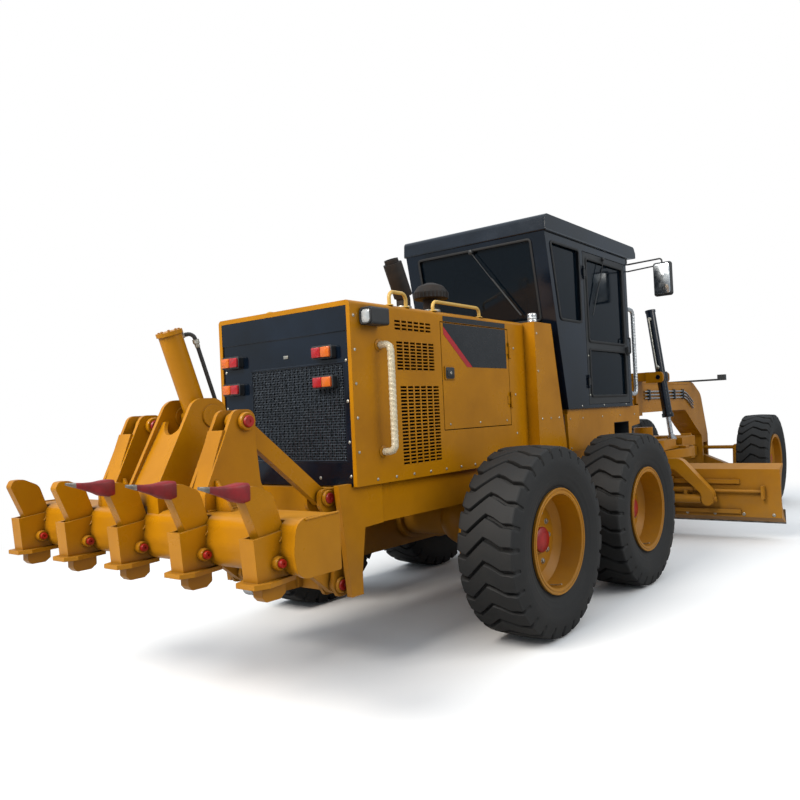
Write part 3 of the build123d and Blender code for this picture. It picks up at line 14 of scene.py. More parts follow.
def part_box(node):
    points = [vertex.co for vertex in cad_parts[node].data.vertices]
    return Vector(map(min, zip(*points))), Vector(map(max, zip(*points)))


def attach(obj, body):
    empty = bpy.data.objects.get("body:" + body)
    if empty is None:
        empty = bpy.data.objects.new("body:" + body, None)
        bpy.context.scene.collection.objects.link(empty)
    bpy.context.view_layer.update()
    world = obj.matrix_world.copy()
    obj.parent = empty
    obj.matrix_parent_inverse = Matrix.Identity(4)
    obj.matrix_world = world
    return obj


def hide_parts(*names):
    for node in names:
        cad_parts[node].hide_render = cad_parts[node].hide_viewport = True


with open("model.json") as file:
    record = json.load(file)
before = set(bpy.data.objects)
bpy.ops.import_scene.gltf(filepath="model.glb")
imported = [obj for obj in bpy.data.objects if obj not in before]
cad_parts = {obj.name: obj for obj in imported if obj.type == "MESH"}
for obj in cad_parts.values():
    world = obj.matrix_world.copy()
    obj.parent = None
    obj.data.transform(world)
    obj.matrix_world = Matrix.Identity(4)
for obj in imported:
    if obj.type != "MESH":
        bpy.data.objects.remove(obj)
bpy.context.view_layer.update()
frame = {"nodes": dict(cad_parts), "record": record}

SIDES = (("right", -1), ("left", 1))
REAR_TYRE, MID_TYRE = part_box("tyre_rear_right"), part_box("tyre_mid_right")
TANDEM_Y = (REAR_TYRE[0].y + REAR_TYRE[1].y + MID_TYRE[0].y + MID_TYRE[1].y) / 4
HOOD_X = 0.608          # hood's flank
HOOD_TOP = 2.192
PANEL_Y = 1.9285        # face of the rear panel
SHANK_PITCH = 0.52      # between ripper shanks
CAB_WALL_X = 0.733      # glass of the cab's flank
UP, REARWARDS = (0, 0, 1), (0, 1, 0)


# ---------------------------------------------------------------- surfaces
def seat(points):
    """Points with Y from the middle of the rear axles, moved into the shared frame."""
    return np.asarray(points, float) + np.array([0.0, TANDEM_Y, 0.0])


def sided(sign, *points):
    """Points written for the left side, mirrored onto either side and moved into the shared frame."""
    return seat(np.array(points, float) * (sign, 1, 1))


def unit(v):
    v = np.asarray(v, float)
    return v / np.linalg.norm(v, axis=-1, keepdims=True)


def grid_faces(rows, cols, wrap_rows=False, wrap_cols=False):
    """Four-sided faces between neighbours on a grid of rows by columns."""
    r = np.arange(rows if wrap_rows else rows - 1)
    c = np.arange(cols if wrap_cols else cols - 1)
    r, c = (a.ravel() for a in np.meshgrid(r, c, indexing="ij"))
    r2, c2 = (r + 1) % rows, (c + 1) % cols
    return np.stack([r * cols + c, r * cols + c2, r2 * cols + c2, r2 * cols + c], 1).tolist()


def skin(rings, closed=False, first=True, last=True):
    """Rings of points with faces between neighbours. An open run is capped at its first and last ring."""
    rings = np.asarray(rings)
    rows, cols = rings.shape[:2]
    faces = grid_faces(rows, cols, closed, True)
    capped = [] if closed else [0] * first + [rows - 1] * last
    faces += [[row * cols + i for i in range(cols)] for row in capped]
    return rings.reshape(-1, 3), faces


def join(shapes):
    """Several closed shells as one shape."""
    points, faces, start = [], [], 0
    for some_points, some_faces in shapes:
        points.append(np.asarray(some_points, float))
        faces += [[i + start for i in face] for face in some_faces]
        start += len(some_points)
    return np.concatenate(points), faces


def around(u, v, count):
    """Points of a unit circle in the plane of two directions."""
    a = np.linspace(0, 2 * np.pi, count, endpoint=False)[:, None]
    return np.cos(a) * u + np.sin(a) * v


def square_to(axis):
    """Two directions square to an axis and to each other."""
    u = unit(np.cross((0.0, 0.0, 1.0) if abs(axis[2]) < 0.9 else (1.0, 0.0, 0.0), axis))
    return u, np.cross(axis, u)


def round_profile(radius, sides=12):
    """Points of a circle."""
    return radius * around((1, 0), (0, 1), sides)


def rounded_box(width, height, radius, steps=4):
    """Outline of a rectangle about the origin with a quarter circle at each corner."""
    a = np.linspace(0, np.pi / 2, steps + 1)
    arcs = []
    for k, (sx, sy) in enumerate(((1, 1), (-1, 1), (-1, -1), (1, -1))):
        centre = np.array([sx * (width / 2 - radius), sy * (height / 2 - radius)])
        turn = a + k * np.pi / 2
        arcs.append(centre + radius * np.stack([np.cos(turn), np.sin(turn)], 1))
    return np.concatenate(arcs)


def sweep(path, profile, up=UP, closed=False):
    """A closed profile carried along a path: at every point it stands square to the path,
    its first axis along tangent x up, its second along the rest. Open ends are capped."""
    path, profile = np.asarray(path, float), np.asarray(profile, float)
    ahead = np.roll(path, -1, 0) - np.roll(path, 1, 0) if closed else np.gradient(path, axis=0)
    tangent = unit(ahead)
    side = unit(np.cross(tangent, np.asarray(up, float)))
    top = np.cross(side, tangent)
    return skin(path[:, None] + profile[:, :1] * side[:, None] + profile[:, 1:] * top[:, None], closed)


def corner_curve(before, corner, after, radius, steps=6):
    """Parabola that leaves a straight run a radius before its corner and meets the next a radius behind it."""
    a, b = corner + unit(before - corner) * radius, corner + unit(after - corner) * radius
    t = np.linspace(0, 1, steps + 1)[:, None]
    return (1 - t) ** 2 * a + 2 * t * (1 - t) * corner + t ** 2 * b


def bend(points, radius, steps=6):
    """A route of straight runs with a parabola at each corner."""
    points = np.asarray(points, float)
    curves = [corner_curve(*three, radius, steps) for three in zip(points, points[1:], points[2:])]
    return np.concatenate([points[:1], *curves, points[-1:]])


def lathe(profile, origin, axis, steps=24):
    """A profile of (radius, height) turned about an axis; a zero radius is a closed pole."""
    axis = unit(axis)
    ring = around(*square_to(axis), steps)
    points, starts, count, faces = [], [], 0, []
    for radius, height in profile:
        base = np.asarray(origin, float) + axis * height
        points.append(base[None] if radius == 0 else base + radius * ring)
        starts.append(count)
        count += len(points[-1])
    for k in range(len(profile) - 1):
        low, high = profile[k][0] == 0, profile[k + 1][0] == 0
        for i in range(steps):
            j = (i + 1) % steps
            a0, a1 = starts[k] + (0 if low else i), starts[k] + (0 if low else j)
            b0, b1 = starts[k + 1] + (0 if high else i), starts[k + 1] + (0 if high else j)
            face = [a0, a1, b1, b0]
            faces.append([p for n, p in enumerate(face) if p not in face[:n]])
    for k in (0, len(profile) - 1):
        if profile[k][0] > 0:
            faces.append([starts[k] + i for i in range(steps)])
    return np.concatenate(points), faces


def ring_lathe(profile, origin, axis, steps=48):
    """A closed profile of (radius, height) turned about an axis into a ring."""
    axis, profile = unit(axis), np.asarray(profile, float)
    out = around(*square_to(axis), steps)[:, None]
    return skin(np.asarray(origin, float) + profile[:, :1] * out + profile[:, 1:] * axis, closed=True)


def plaque(outline, thick, soft, origin, u, v):
    """A convex outline raised by thick along u x v, its top edge drawn in by soft."""
    outline = np.asarray(outline, float)
    u, v = unit(u), unit(v)
    to_next = unit(np.roll(outline, -1, 0) - outline)
    inward = np.stack([-to_next[:, 1], to_next[:, 0]], 1)
    corner = unit(inward + np.roll(inward, 1, 0))
    reach = soft / np.maximum(0.3, (corner * inward).sum(1, keepdims=True))
    levels = ((0.0, 0.0), (0.0, thick - soft), (0.3, thick - soft * 0.3), (1.0, thick))
    rings = [outline + corner * reach * drawn for drawn, _ in levels]
    return skin([np.asarray(origin, float) + ring[:, :1] * u + ring[:, 1:] * v + height * np.cross(u, v)
                 for ring, (_, height) in zip(rings, levels)])


def slab(x0, x1, y0, y1, z0, z1, soft=0.003, corner=0.006):
    """A flat piece with rounded corners standing out along X; soft is its drawn-in outer edge."""
    centre = seat((x0, (y0 + y1) / 2, (z0 + z1) / 2))
    return plaque(rounded_box(y1 - y0, z1 - z0, corner), abs(x1 - x0), soft, centre, (0, 1 if x1 > x0 else -1, 0), UP)


def bezel_y(x0, x1, z0, z1, y, thick, soft=0.003, corner=0.006):
    """The same, standing out along +Y."""
    centre = seat(((x0 + x1) / 2, y, (z0 + z1) / 2))
    return plaque(rounded_box(z1 - z0, x1 - x0, corner), thick, soft, centre, UP, (1, 0, 0))


def round_dots(places, axis, radius, height):
    """Domed heads at many places."""
    profile = [(radius, 0.0), (radius * 0.96, height * 0.5), (radius * 0.6, height * 0.9), (0, height)]
    return join([lathe(profile, place, axis, 12) for place in places])


def hex_bolt(origin, axis, size, washer=True):
    """Bolt head: a six-sided crown with a chamfer, over a round washer."""
    shapes = [lathe([(size, 0.0), (size, size * 0.62), (size * 0.84, size * 0.8), (0, size * 0.8)], origin, axis, 6)]
    if washer:
        disc = [(size * 1.35, 0.0), (size * 1.35, 0.0016), (size * 1.2, 0.0024), (0, 0.0024)]
        shapes.append(lathe(disc, origin, axis, 14))
    return join(shapes)


def make(name, shape, body, finish, crease=40, stands_for=()):
    """One piece from a shape or a list of shapes: faces outwards, smooth up to the crease angle, riding on
    its body. A finish is a material and a slot; the piece takes only the material."""
    points, faces = join(shape) if isinstance(shape, list) else shape
    mesh = bpy.data.meshes.new(name)
    mesh.from_pydata(np.asarray(points).tolist(), [], faces)
    work = bmesh.new()
    work.from_mesh(mesh)
    bmesh.ops.recalc_face_normals(work, faces=work.faces)
    work.to_mesh(mesh)
    work.free()
    mesh.shade_smooth()
    mesh.set_sharp_from_angle(angle=math.radians(crease))
    mesh.materials.append(finish[0])
    piece = bpy.data.objects.new(name, mesh)
    bpy.context.scene.collection.objects.link(piece)
    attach(piece, body)
    if stands_for:
        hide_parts(*stands_for)
    return piece


# ---------------------------------------------------------------- materials
def linear(code):
    """sRGB hex to linear RGBA."""
    c = np.array([int(code[i:i + 2], 16) / 255 for i in (1, 3, 5)])
    c = np.where(c <= 0.04045, c / 12.92, ((c + 0.055) / 1.055) ** 2.4)
    return (*c.tolist(), 1.0)


def add(tree, kind, settings=None, **sockets):
    """One node with its settings. A socket is given a value, an output, or a node for its first output;
    in a socket's name _ stands for a space, and i0 is the first input."""
    node = tree.nodes.new("ShaderNode" + kind)
    for key, value in (settings or {}).items():
        setattr(node, key, value)
    for key, value in sockets.items():
        socket = node.inputs[int(key[1:]) if key[1:].isdigit() else key.replace("_", " ")]
        if isinstance(value, bpy.types.Node):
            value = value.outputs[0]
        if isinstance(value, bpy.types.NodeSocket):
            tree.links.new(value, socket)
        else:
            socket.default_value = value
    return node


def blend(tree, share, low, high):
    """Colour between two colours, each a hex code or an output."""
    low, high = (linear(c) if isinstance(c, str) else c for c in (low, high))
    return add(tree, "Mix", {"data_type": "RGBA"}, i0=share, i6=low, i7=high).outputs[2]


def remap(tree, value, low, high, start=0.0, end=1.0, kind="LINEAR"):
    """A value between low and high, carried over to start and end."""
    return add(tree, "MapRange", {"interpolation_type": kind}, Value=value, i1=low, i2=high, i3=start, i4=end)


def noise(tree, place, scale, detail, roughness=0.5):
    return add(tree, "TexNoise", Vector=place, Scale=scale, Detail=detail, Roughness=roughness)


def math_node(tree, operation, a, b):
    return add(tree, "Math", {"operation": operation}, i0=a, i1=b)


def bumped(tree, strength, distance, height, **more):
    return add(tree, "Bump", Strength=strength, Distance=distance, Height=height, **more)


def begin(name):
    """A new material, its node tree and the object's own coordinates."""
    material = bpy.data.materials.new(name)
    material.use_nodes = True
    tree = material.node_tree
    tree.nodes.clear()
    return material, tree, add(tree, "TexCoord").outputs["Object"]


def surfaced(material, shader="BsdfPrincipled", **sockets):
    """The material, with one shader as its surface."""
    tree = material.node_tree
    add(tree, "OutputMaterial", Surface=add(tree, shader, **sockets))
    return material


def coated_paint(name, colour, corner_shade_colour, faded, rough, peel, dust=0.35, corner_shade_amount=0.55, shine=0.22):
    """Two-pack machine enamel sprayed on steel: orange peel about 8 mm across, cloudy fading over half a
    metre, painted shade darkening corners where plates meet, dust on level faces and road dirt towards the ground."""
    material, tree, place = begin(name)
    clouds = noise(tree, place, 2.2, 5.0, 0.62)
    base = blend(tree, remap(tree, clouds, 0.35, 0.68), colour, faded)
    height = add(tree, "SeparateXYZ", Vector=place).outputs[2]
    low = remap(tree, height, 1.15, 0.1, 0.0, 0.55, "SMOOTHSTEP")
    splash = noise(tree, place, 9.0, 7.0, 0.7)
    up = add(tree, "SeparateXYZ", Vector=add(tree, "NewGeometry").outputs["Normal"]).outputs[2]
    level = remap(tree, up, 0.55, 1.0, 0.0, dust)
    splashed, settled = (math_node(tree, "MULTIPLY", share, splash) for share in (low, level))
    dust_amount = math_node(tree, "MAXIMUM", splashed, settled)
    dusted = blend(tree, dust_amount, base, "#7a6848")
    # painted shade: ambient occlusion darkens the colour towards a dark brown in corners and where plates meet
    corner = add(tree, "AmbientOcclusion", {"samples": 6}, Distance=0.07).outputs["AO"]
    corner_shaded = blend(tree, remap(tree, corner, 0.35, 0.85, corner_shade_amount, 0.0), dusted, corner_shade_colour)
    gloss = remap(tree, clouds, 0.3, 0.75, rough - 0.05, rough + 0.12)
    dull = add(tree, "Mix", i0=dust_amount, i2=gloss, i3=0.85)
    softened = add(tree, "Bevel", {"samples": 4}, Radius=0.004)
    bump = bumped(tree, peel, 0.002, noise(tree, place, 120.0, 2.0), Normal=softened)
    return surfaced(material, Base_Color=corner_shaded, Roughness=dull, Normal=bump, Specular_IOR_Level=shine)


def worn(name, bright, dull, rough, scale, metallic=1.0, scratch=0.3):
    """Bare metal: cloudy patches between a bright and a dull tone, and fine scratches along X."""
    material, tree, place = begin(name)
    share = remap(tree, noise(tree, place, scale, 6.0, 0.65), 0.38, 0.64)
    drawn = add(tree, "Mapping", Vector=place, Scale=(6.0, 160.0, 160.0))
    return surfaced(material, Base_Color=blend(tree, share, bright, dull), Metallic=metallic,
                    Roughness=remap(tree, share, 0.0, 1.0, rough, min(0.9, rough + 0.35)),
                    Normal=bumped(tree, scratch, 0.001, noise(tree, drawn, 1.0, 3.0)))


def tyre_rubber():
    """Moulded tyre rubber: grey-black with faint tan dusty patches, painted shade darkening the grooves, fine grain."""
    material, tree, place = begin("tyre_rubber_moulded")
    dusty = remap(tree, noise(tree, place, 5.0, 7.0, 0.68), 0.42, 0.75, 0.0, 0.6)
    colour = blend(tree, dusty, "#101112", "#1f1d1a")
    # painted shade: ambient occlusion darkens the grooves and the gaps between lugs towards near black
    corner = add(tree, "AmbientOcclusion", {"samples": 6}, Distance=0.05).outputs["AO"]
    groove_shaded = blend(tree, remap(tree, corner, 0.2, 0.75, 0.55, 0.0), colour, "#0c0b0a")
    nicks = add(tree, "TexVoronoi", {"feature": "DISTANCE_TO_EDGE"}, Vector=place, Scale=38.0)
    height = math_node(tree, "MULTIPLY", noise(tree, place, 220.0, 3.0), remap(tree, nicks, 0.0, 0.05, 0.85, 1.0))
    return surfaced(material, Base_Color=groove_shaded, Roughness=0.72, Normal=bumped(tree, 0.35, 0.002, height))


def hose_rubber():
    """Rubber hose, wrapped while cured: black with the faint print of the cloth wrap."""
    material, tree, place = begin("hydraulic_hose_rubber_cloth_wrapped")
    colour = blend(tree, noise(tree, place, 14.0, 4.0), "#0e0f11", "#2a2825")
    weave = noise(tree, place, 420.0, 2.0)
    return surfaced(material, Base_Color=colour, Roughness=0.55, Normal=bumped(tree, 0.25, 0.001, weave))


def tinted_glass():
    """Tinted cab glass, float made: dark blue-grey, mirrors the sky at a low angle, faint dust film."""
    material, tree, place = begin("tinted_float_glass")
    rough = remap(tree, noise(tree, place, 3.5, 6.0, 0.65), 0.4, 0.8, 0.02, 0.16)
    tint = add(tree, "BsdfPrincipled", Base_Color=linear("#0e1a24"), Roughness=rough, IOR=1.6)
    clear = add(tree, "BsdfTransparent", Color=linear("#5f7c8c"))
    share = remap(tree, add(tree, "Fresnel", IOR=1.5), 0.0, 0.6, 0.42, 0.95)
    return surfaced(material, "MixShader", i0=share, i1=clear, i2=tint)


def lens(name, colour, deep):
    """Moulded acrylic lens with fine upright flutes: saturated, glossy, lit from within by what it passes."""
    material, tree, place = begin(name)
    flutes = add(tree, "TexWave", {"bands_direction": "X"}, Vector=place, Scale=45.0, Distortion=0.0).outputs["Fac"]
    return surfaced(material, Base_Color=blend(tree, flutes, deep, colour), Roughness=0.16, Coat_Weight=0.6,
                    Coat_Roughness=0.05, Subsurface_Weight=0.15, Normal=bumped(tree, 0.3, 0.002, flutes))


def flat_finish(name, colour, other, rough, grain, metallic=0.0, strength=0.2, coat=0.0):
    """A moulded, taped or printed finish: two near tones in soft clouds with a fine grain."""
    material, tree, place = begin(name)
    cloud = noise(tree, place, 11.0, 5.0, 0.6)
    return surfaced(material, Base_Color=blend(tree, remap(tree, cloud, 0.35, 0.68), colour, other),
                    Roughness=remap(tree, cloud, 0.3, 0.7, rough - 0.05, rough + 0.1), Metallic=metallic,
                    Coat_Weight=coat, Normal=bumped(tree, strength, 0.002, noise(tree, place, grain, 3.0)))


def crinkled_film(name, colour, other, metallic, rough):
    """Film wound round a bar by hand: facets a centimetre wide that catch the light one by one."""
    material, tree, place = begin(name)
    folds = add(tree, "TexVoronoi", {"feature": "F1", "distance": "CHEBYCHEV"}, Vector=place, Scale=85.0)
    return surfaced(material, Base_Color=blend(tree, noise(tree, place, 30.0, 4.0), colour, other), Roughness=rough,
                    Metallic=metallic, Normal=bumped(tree, 0.8, 0.004, folds))


def woven_cloth():
    """Woven seat cloth, 3 mm ribs one way and finer threads the other."""
    material, tree, place = begin("seat_cloth_woven")
    ribs, threads = (add(tree, "TexWave", {"bands_direction": way}, Vector=place, Scale=scale,
                         Distortion=0.6).outputs["Fac"] for way, scale in (("X", 52.0), ("Y", 110.0)))
    weave = math_node(tree, "MULTIPLY", ribs, threads)
    return surfaced(material, Base_Color=blend(tree, weave, "#17191c", "#3b3e42"), Roughness=0.85,
                    Sheen_Weight=0.3, Normal=bumped(tree, 0.5, 0.002, weave))


# Each finish is a material and the slot that goes with it.
# sprayed machine enamel: a soft gloss that goes cloudy, tan dust on level faces, brown painted shade in corners
YELLOW = coated_paint("machine_yellow_enamel_sprayed", "#b27606", "#2e1f0a", "#a06804", 0.28, 0.12), "yellow_paint"
# gloss enamel with a blue cast on the cab and rear panel: dark, with broad soft reflections
BLACK = coated_paint("black_gloss_enamel_sprayed", "#060d16", "#050607", "#0a1624", 0.12, 0.06, dust=0.05,
                     corner_shade_amount=0.3, shine=0.6), "black_paint"
# brushed primer on the hubs: matt, streaky, worn through in patches
RED = coated_paint("red_primer_brushed", "#9c1a14", "#3a0f0a", "#b5392a", 0.5, 0.35, dust=0.2), "red_paint"
RUBBER = tyre_rubber(), "tyre_rubber"
HOSE = hose_rubber(), "hose_rubber"
GLASS = tinted_glass(), "glass"
CLOTH = woven_cloth(), "seat_cloth"
# bare metals, from a scoured blade with long bright scratches to cast iron that hardly shines
STEEL = worn("blade_steel_scoured", "#a9a8a4", "#5b5148", 0.3, 7.0), "worn_steel"
CHROME = worn("hard_chrome_ground", "#d6d8da", "#b4b6b8", 0.08, 20.0, scratch=0.06), "rod_chrome"
ZINC = worn("zinc_plated_bolts", "#cfcdc4", "#8f8a7c", 0.32, 60.0), "worn_steel"
IRON = worn("engine_iron_cast", "#3c3f42", "#242526", 0.55, 26.0, metallic=0.5, scratch=0.5), "engine_iron"
SILVERED = worn("mirror_glass_silvered", "#e4e9ec", "#d8dde0", 0.03, 3.0, scratch=0.0), "glass"
WIRE = worn("radiator_wire_galvanised_dull", "#5c646c", "#22262b", 0.5, 90.0, metallic=0.5, scratch=0.1), "black_paint"
# scale from heat: a dead brown black with a rough grain
SOOT = flat_finish("exhaust_steel_heat_blackened", "#191614", "#30261f", 0.62, 140.0, metallic=0.4,
                   strength=0.4), "black_paint"
# moulded and extruded goods: even, dull, with the mould's fine grain
PLASTIC = flat_finish("cab_trim_plastic_moulded", "#1c1e20", "#2a2c2e", 0.5, 260.0), "cab_trim"
SEAL = flat_finish("window_seal_rubber_extruded", "#0d0e0f", "#17181a", 0.6, 320.0), "cab_trim"
# vinyl laid on paint: smoother and glossier than what it lies on
SIGN_BLACK = flat_finish("black_vinyl_film_laid", "#0b0c0e", "#121418", 0.22, 90.0, strength=0.04,
                         coat=0.3), "black_paint"
SIGN_RED = flat_finish("red_vinyl_film_laid", "#b3121c", "#9c0f18", 0.25, 90.0, strength=0.04, coat=0.3), "red_paint"
# dipped and brushed colours: thick, with a soft even sheen
CREAM = flat_finish("rail_cream_enamel_dipped", "#c9a24c", "#b58d3a", 0.36, 130.0, coat=0.2), "wrapped_tube"
PIN_RED = flat_finish("pin_end_red_paint_brushed", "#a01009", "#7c0c07", 0.4, 150.0), "red_paint"
SPIKE_RED = flat_finish("ripper_tooth_crimson_primer_dipped", "#8a0c16", "#5e0a10", 0.45, 120.0,
                        strength=0.35), "red_paint"
FOIL = crinkled_film("silver_film_wound", "#d9dcde", "#a4a7a9", 0.85, 0.22), "wrapped_tube"
WRAP = crinkled_film("pale_film_wound", "#dcd3bd", "#b8a884", 0.1, 0.4), "wrapped_tube"
AMBER_LENS = lens("amber_acrylic_lens_moulded", "#e8781c", "#b0480c"), "lamp_lens"
RED_LENS = lens("red_acrylic_lens_moulded", "#c0161e", "#7a0c12"), "lamp_lens"
# pressed glass: pale, with flutes that break up the light
CLEAR_LENS = flat_finish("lamp_lens_fluted_glass", "#c3c8ca", "#8f9699", 0.1, 160.0, strength=0.5,
                         coat=0.6), "lamp_lens"

BY_SLOT = {slot: material for material, slot in (YELLOW, BLACK, PLASTIC, RUBBER, HOSE, GLASS, AMBER_LENS, STEEL,
                                                 CHROME, RED, CREAM, CLOTH, IRON)}
BY_NODE = {"stacks": SOOT, "rear_lamps": PLASTIC, "front_lamps": PLASTIC, "cab_fittings": PLASTIC}


def dress_frame():
    """Every CAD node gets the material of the slot that the record gives it, or its own."""
    slots = {row["node"]: row["material_slot"] for row in frame["record"]["subparts"]}
    for name, node in frame["nodes"].items():
        node.data.materials.clear()
        node.data.materials.append(BY_NODE[name][0] if name in BY_NODE else BY_SLOT[slots[name]])


dress_frame()


# ---------------------------------------------------------------- tyres
LUGS = 28
# (share across the tread from the inner edge, lead of the groove there in pitches)
GROOVE_LINE = ((-0.2, -0.30), (0.0, -0.16), (0.10, 0.02), (0.20, 0.09), (0.50, -0.75), (0.62, -0.62), (0.78, -0.36),
               (0.90, -0.36), (1.0, -0.28), (1.2, -0.18))
# lines of the grid in one pitch, counted from the middle of its groove
PITCH_STEPS = np.array([-0.5, -0.36, -0.22, -0.125, -0.095, -0.055, 0.0, 0.055, 0.095, 0.125, 0.22, 0.36])
HALF_WIDTH, BEAD_X, CROWN_X, GROOVE_DEPTH = 0.2185, 0.184, 0.180, 0.031


def tyre_profile():
    """(across, radius, depth of groove) from the inner bead over the crown to the outer one: a bulging flank
    with three moulded rings, a buttress leaning in, a tight shoulder and a nearly level crown."""
    flank = np.linspace(0, 1, 22)
    side_x = -BEAD_X - (HALF_WIDTH - BEAD_X) * np.sin(flank * np.pi / 2)
    for centre in (0.15, 0.40, 0.86):
        side_x = side_x - 0.0022 * np.exp(-((flank - centre) / 0.04) ** 2) * (1 - 0.6 * flank)
    side_x = np.maximum(side_x, -HALF_WIDTH - 0.0008)
    buttress = np.linspace(0, 1, 8)[1:]
    shoulder = np.linspace(0.12, np.pi / 2 - 0.2, 5)
    crown = np.linspace(-CROWN_X, 0.0, 16)[1:]
    x = np.concatenate([[-0.176, -0.176], side_x, -HALF_WIDTH + 0.0195 * buttress ** 1.4,
                        -BEAD_X - 0.015 * np.cos(shoulder), crown])
    r = np.concatenate([[0.3190, 0.357], 0.366 + 0.150 * flank, 0.516 + 0.090 * buttress,
                        0.606 + 0.0145 * np.sin(shoulder),
                        0.6205 + 0.0090 * np.sin((crown + CROWN_X) / CROWN_X * np.pi / 2)])
    x, r = np.concatenate([x, -x[-2::-1]]), np.concatenate([r, r[-2::-1]])
    return x, r, GROOVE_DEPTH * np.clip((r - 0.548) / 0.030, 0, 1)


def tyre_shape(centre, outward):
    """A turned profile whose grid leans along the grooves: angle = lug + step + line(across), and the radius
    drops by the groove's depth within the middle steps of every pitch. outward is the sign of X."""
    x, r, depth = tyre_profile()
    across = (x / 0.219 + 1) / 2
    line = np.interp(across, *np.array(GROOVE_LINE).T)
    wide = 1.0 + 0.55 * np.clip(0.24 - across, 0, 0.24) / 0.24 + 0.35 * np.clip(across - 0.82, 0, 0.18) / 0.18
    lug = np.repeat(np.arange(LUGS), len(PITCH_STEPS))
    step = np.tile(PITCH_STEPS, LUGS)
    moved = step[:, None] * np.where(np.abs(step)[:, None] < 0.2, wide[None], 1.0)
    in_groove = np.interp(np.abs(step), [0.0, 0.055, 0.095, 0.125], [1.0, 1.0, 0.14, 0.0])
    angle = (lug[:, None] + moved + line[None]) * (2 * np.pi / LUGS)
    radius = r[None] - depth[None] * in_groove[:, None]
    return skin(np.stack([np.broadcast_to(x * outward, radius.shape) + centre[0],
                          centre[1] - radius * np.cos(angle), centre[2] + radius * np.sin(angle)], -1), closed=True)


def fit_tyres():
    for place in ("rear", "mid", "front"):
        for side, sign in SIDES:
            low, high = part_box(f"tyre_{place}_{side}")
            make(f"tyre_tread_{place}_{side}", tyre_shape((low + high) / 2, sign), f"wheel_{place}_{side}", RUBBER,
                 crease=32, stands_for=(f"tyre_{place}_{side}",))


# (radius, distance out from the middle of the rim)
LOCK_RING = [(0.3455, 0.186), (0.3475, 0.1935), (0.343, 0.1985), (0.336, 0.1965), (0.333, 0.192)]
BEAD_SEAT_RING = [(0.325, 0.190), (0.324, 0.1945), (0.319, 0.196), (0.313, 0.194), (0.311, 0.188)]
# wheels, depth of the dish, radius of the hub, height of its cap over the bottom of the dish
HUBS = (("rear", 0.215, 0.105, 0.070), ("mid", 0.215, 0.105, 0.070), ("front", 0.150, 0.090, 0.060))
RIM_FACE = 0.192


def dress_wheels():
    """Lock ring, second ring, nuts, valve and hub cap of every wheel."""
    for place, depth, hub, rise in HUBS:
        for side, sign in SIDES:
            low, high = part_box(f"rim_{place}_{side}")
            centre, axis = np.array((low + high) / 2), np.array([sign, 0.0, 0.0])
            body = f"wheel_{place}_{side}"
            rings = [ring_lathe(profile, centre, axis, 72) for profile in (LOCK_RING, BEAD_SEAT_RING)]
            make(f"lock_ring_{place}_{side}", rings, body, YELLOW)
            bottom = centre + axis * (RIM_FACE - depth)
            nuts = [hex_bolt(bottom + axis * 0.018 + 0.19 * out, axis, 0.016) for out in around((0, 1, 0), UP, 12)]
            make(f"wheel_nuts_{place}_{side}", nuts, body, ZINC, crease=25)
            dome = [(hub * 0.80, 0.0), (hub * 0.80, 0.012), (hub * 0.72, 0.020), (hub * 0.30, 0.024), (0, 0.026)]
            make(f"hub_cap_{place}_{side}", lathe(dome, bottom + axis * rise, axis, 36), body, PIN_RED)
            stem = centre + axis * 0.1 + (0, 0, -0.296)
            route = [stem, stem + axis * 0.05 + (0, 0, 0.004), stem + axis * 0.085 + (0, 0, 0.012)]
            make(f"valve_stem_{place}_{side}", sweep(route, round_profile(0.005, 10)), body, ZINC)


fit_tyres()
dress_wheels()


# ---------------------------------------------------------------- hood and rear panel
# (first y, last y, lowest z, highest z, slots) of each field
LOUVRES = ((1.185, 1.545, 2.035, 2.105, 3), (1.160, 1.535, 1.785, 1.970, 9), (1.125, 1.515, 1.190, 1.690, 23))


def louvre_ribs():
    """Upright ribs that part each louvre field into columns, pressed from the same sheet,
    and the rolled lip over every slot."""
    for side, sign in SIDES:
        shapes = []
        for y0, y1, z0, z1, rows in LOUVRES:
            for k in range(1, 6):
                y = y0 + (y1 - y0) * k / 6
                shapes.append(slab(sign * (HOOD_X - 0.004), sign * (HOOD_X + 0.0015), y - 0.0065, y + 0.0065,
                                   z0 - 0.002, z1 + 0.002, 0.0012, 0.003))
            pitch = (z1 - z0) / rows
            lip = np.array([(0.0, 0.0), (0.004, 0.001), (0.006, -0.002), (0.003, -0.0035), (0.0, -0.003)])
            for row in range(rows):
                z = z0 + pitch * (row + 0.5) + min(0.013, pitch * 0.62) / 2 + 0.0034
                path = seat([[sign * (HOOD_X - 0.0005), y0, z], [sign * (HOOD_X - 0.0005), y1, z]])
                shapes.append(sweep(path, lip * (-sign, 1)))
        make(f"louvre_ribs_{side}", shapes, "rear_frame", YELLOW, crease=30)


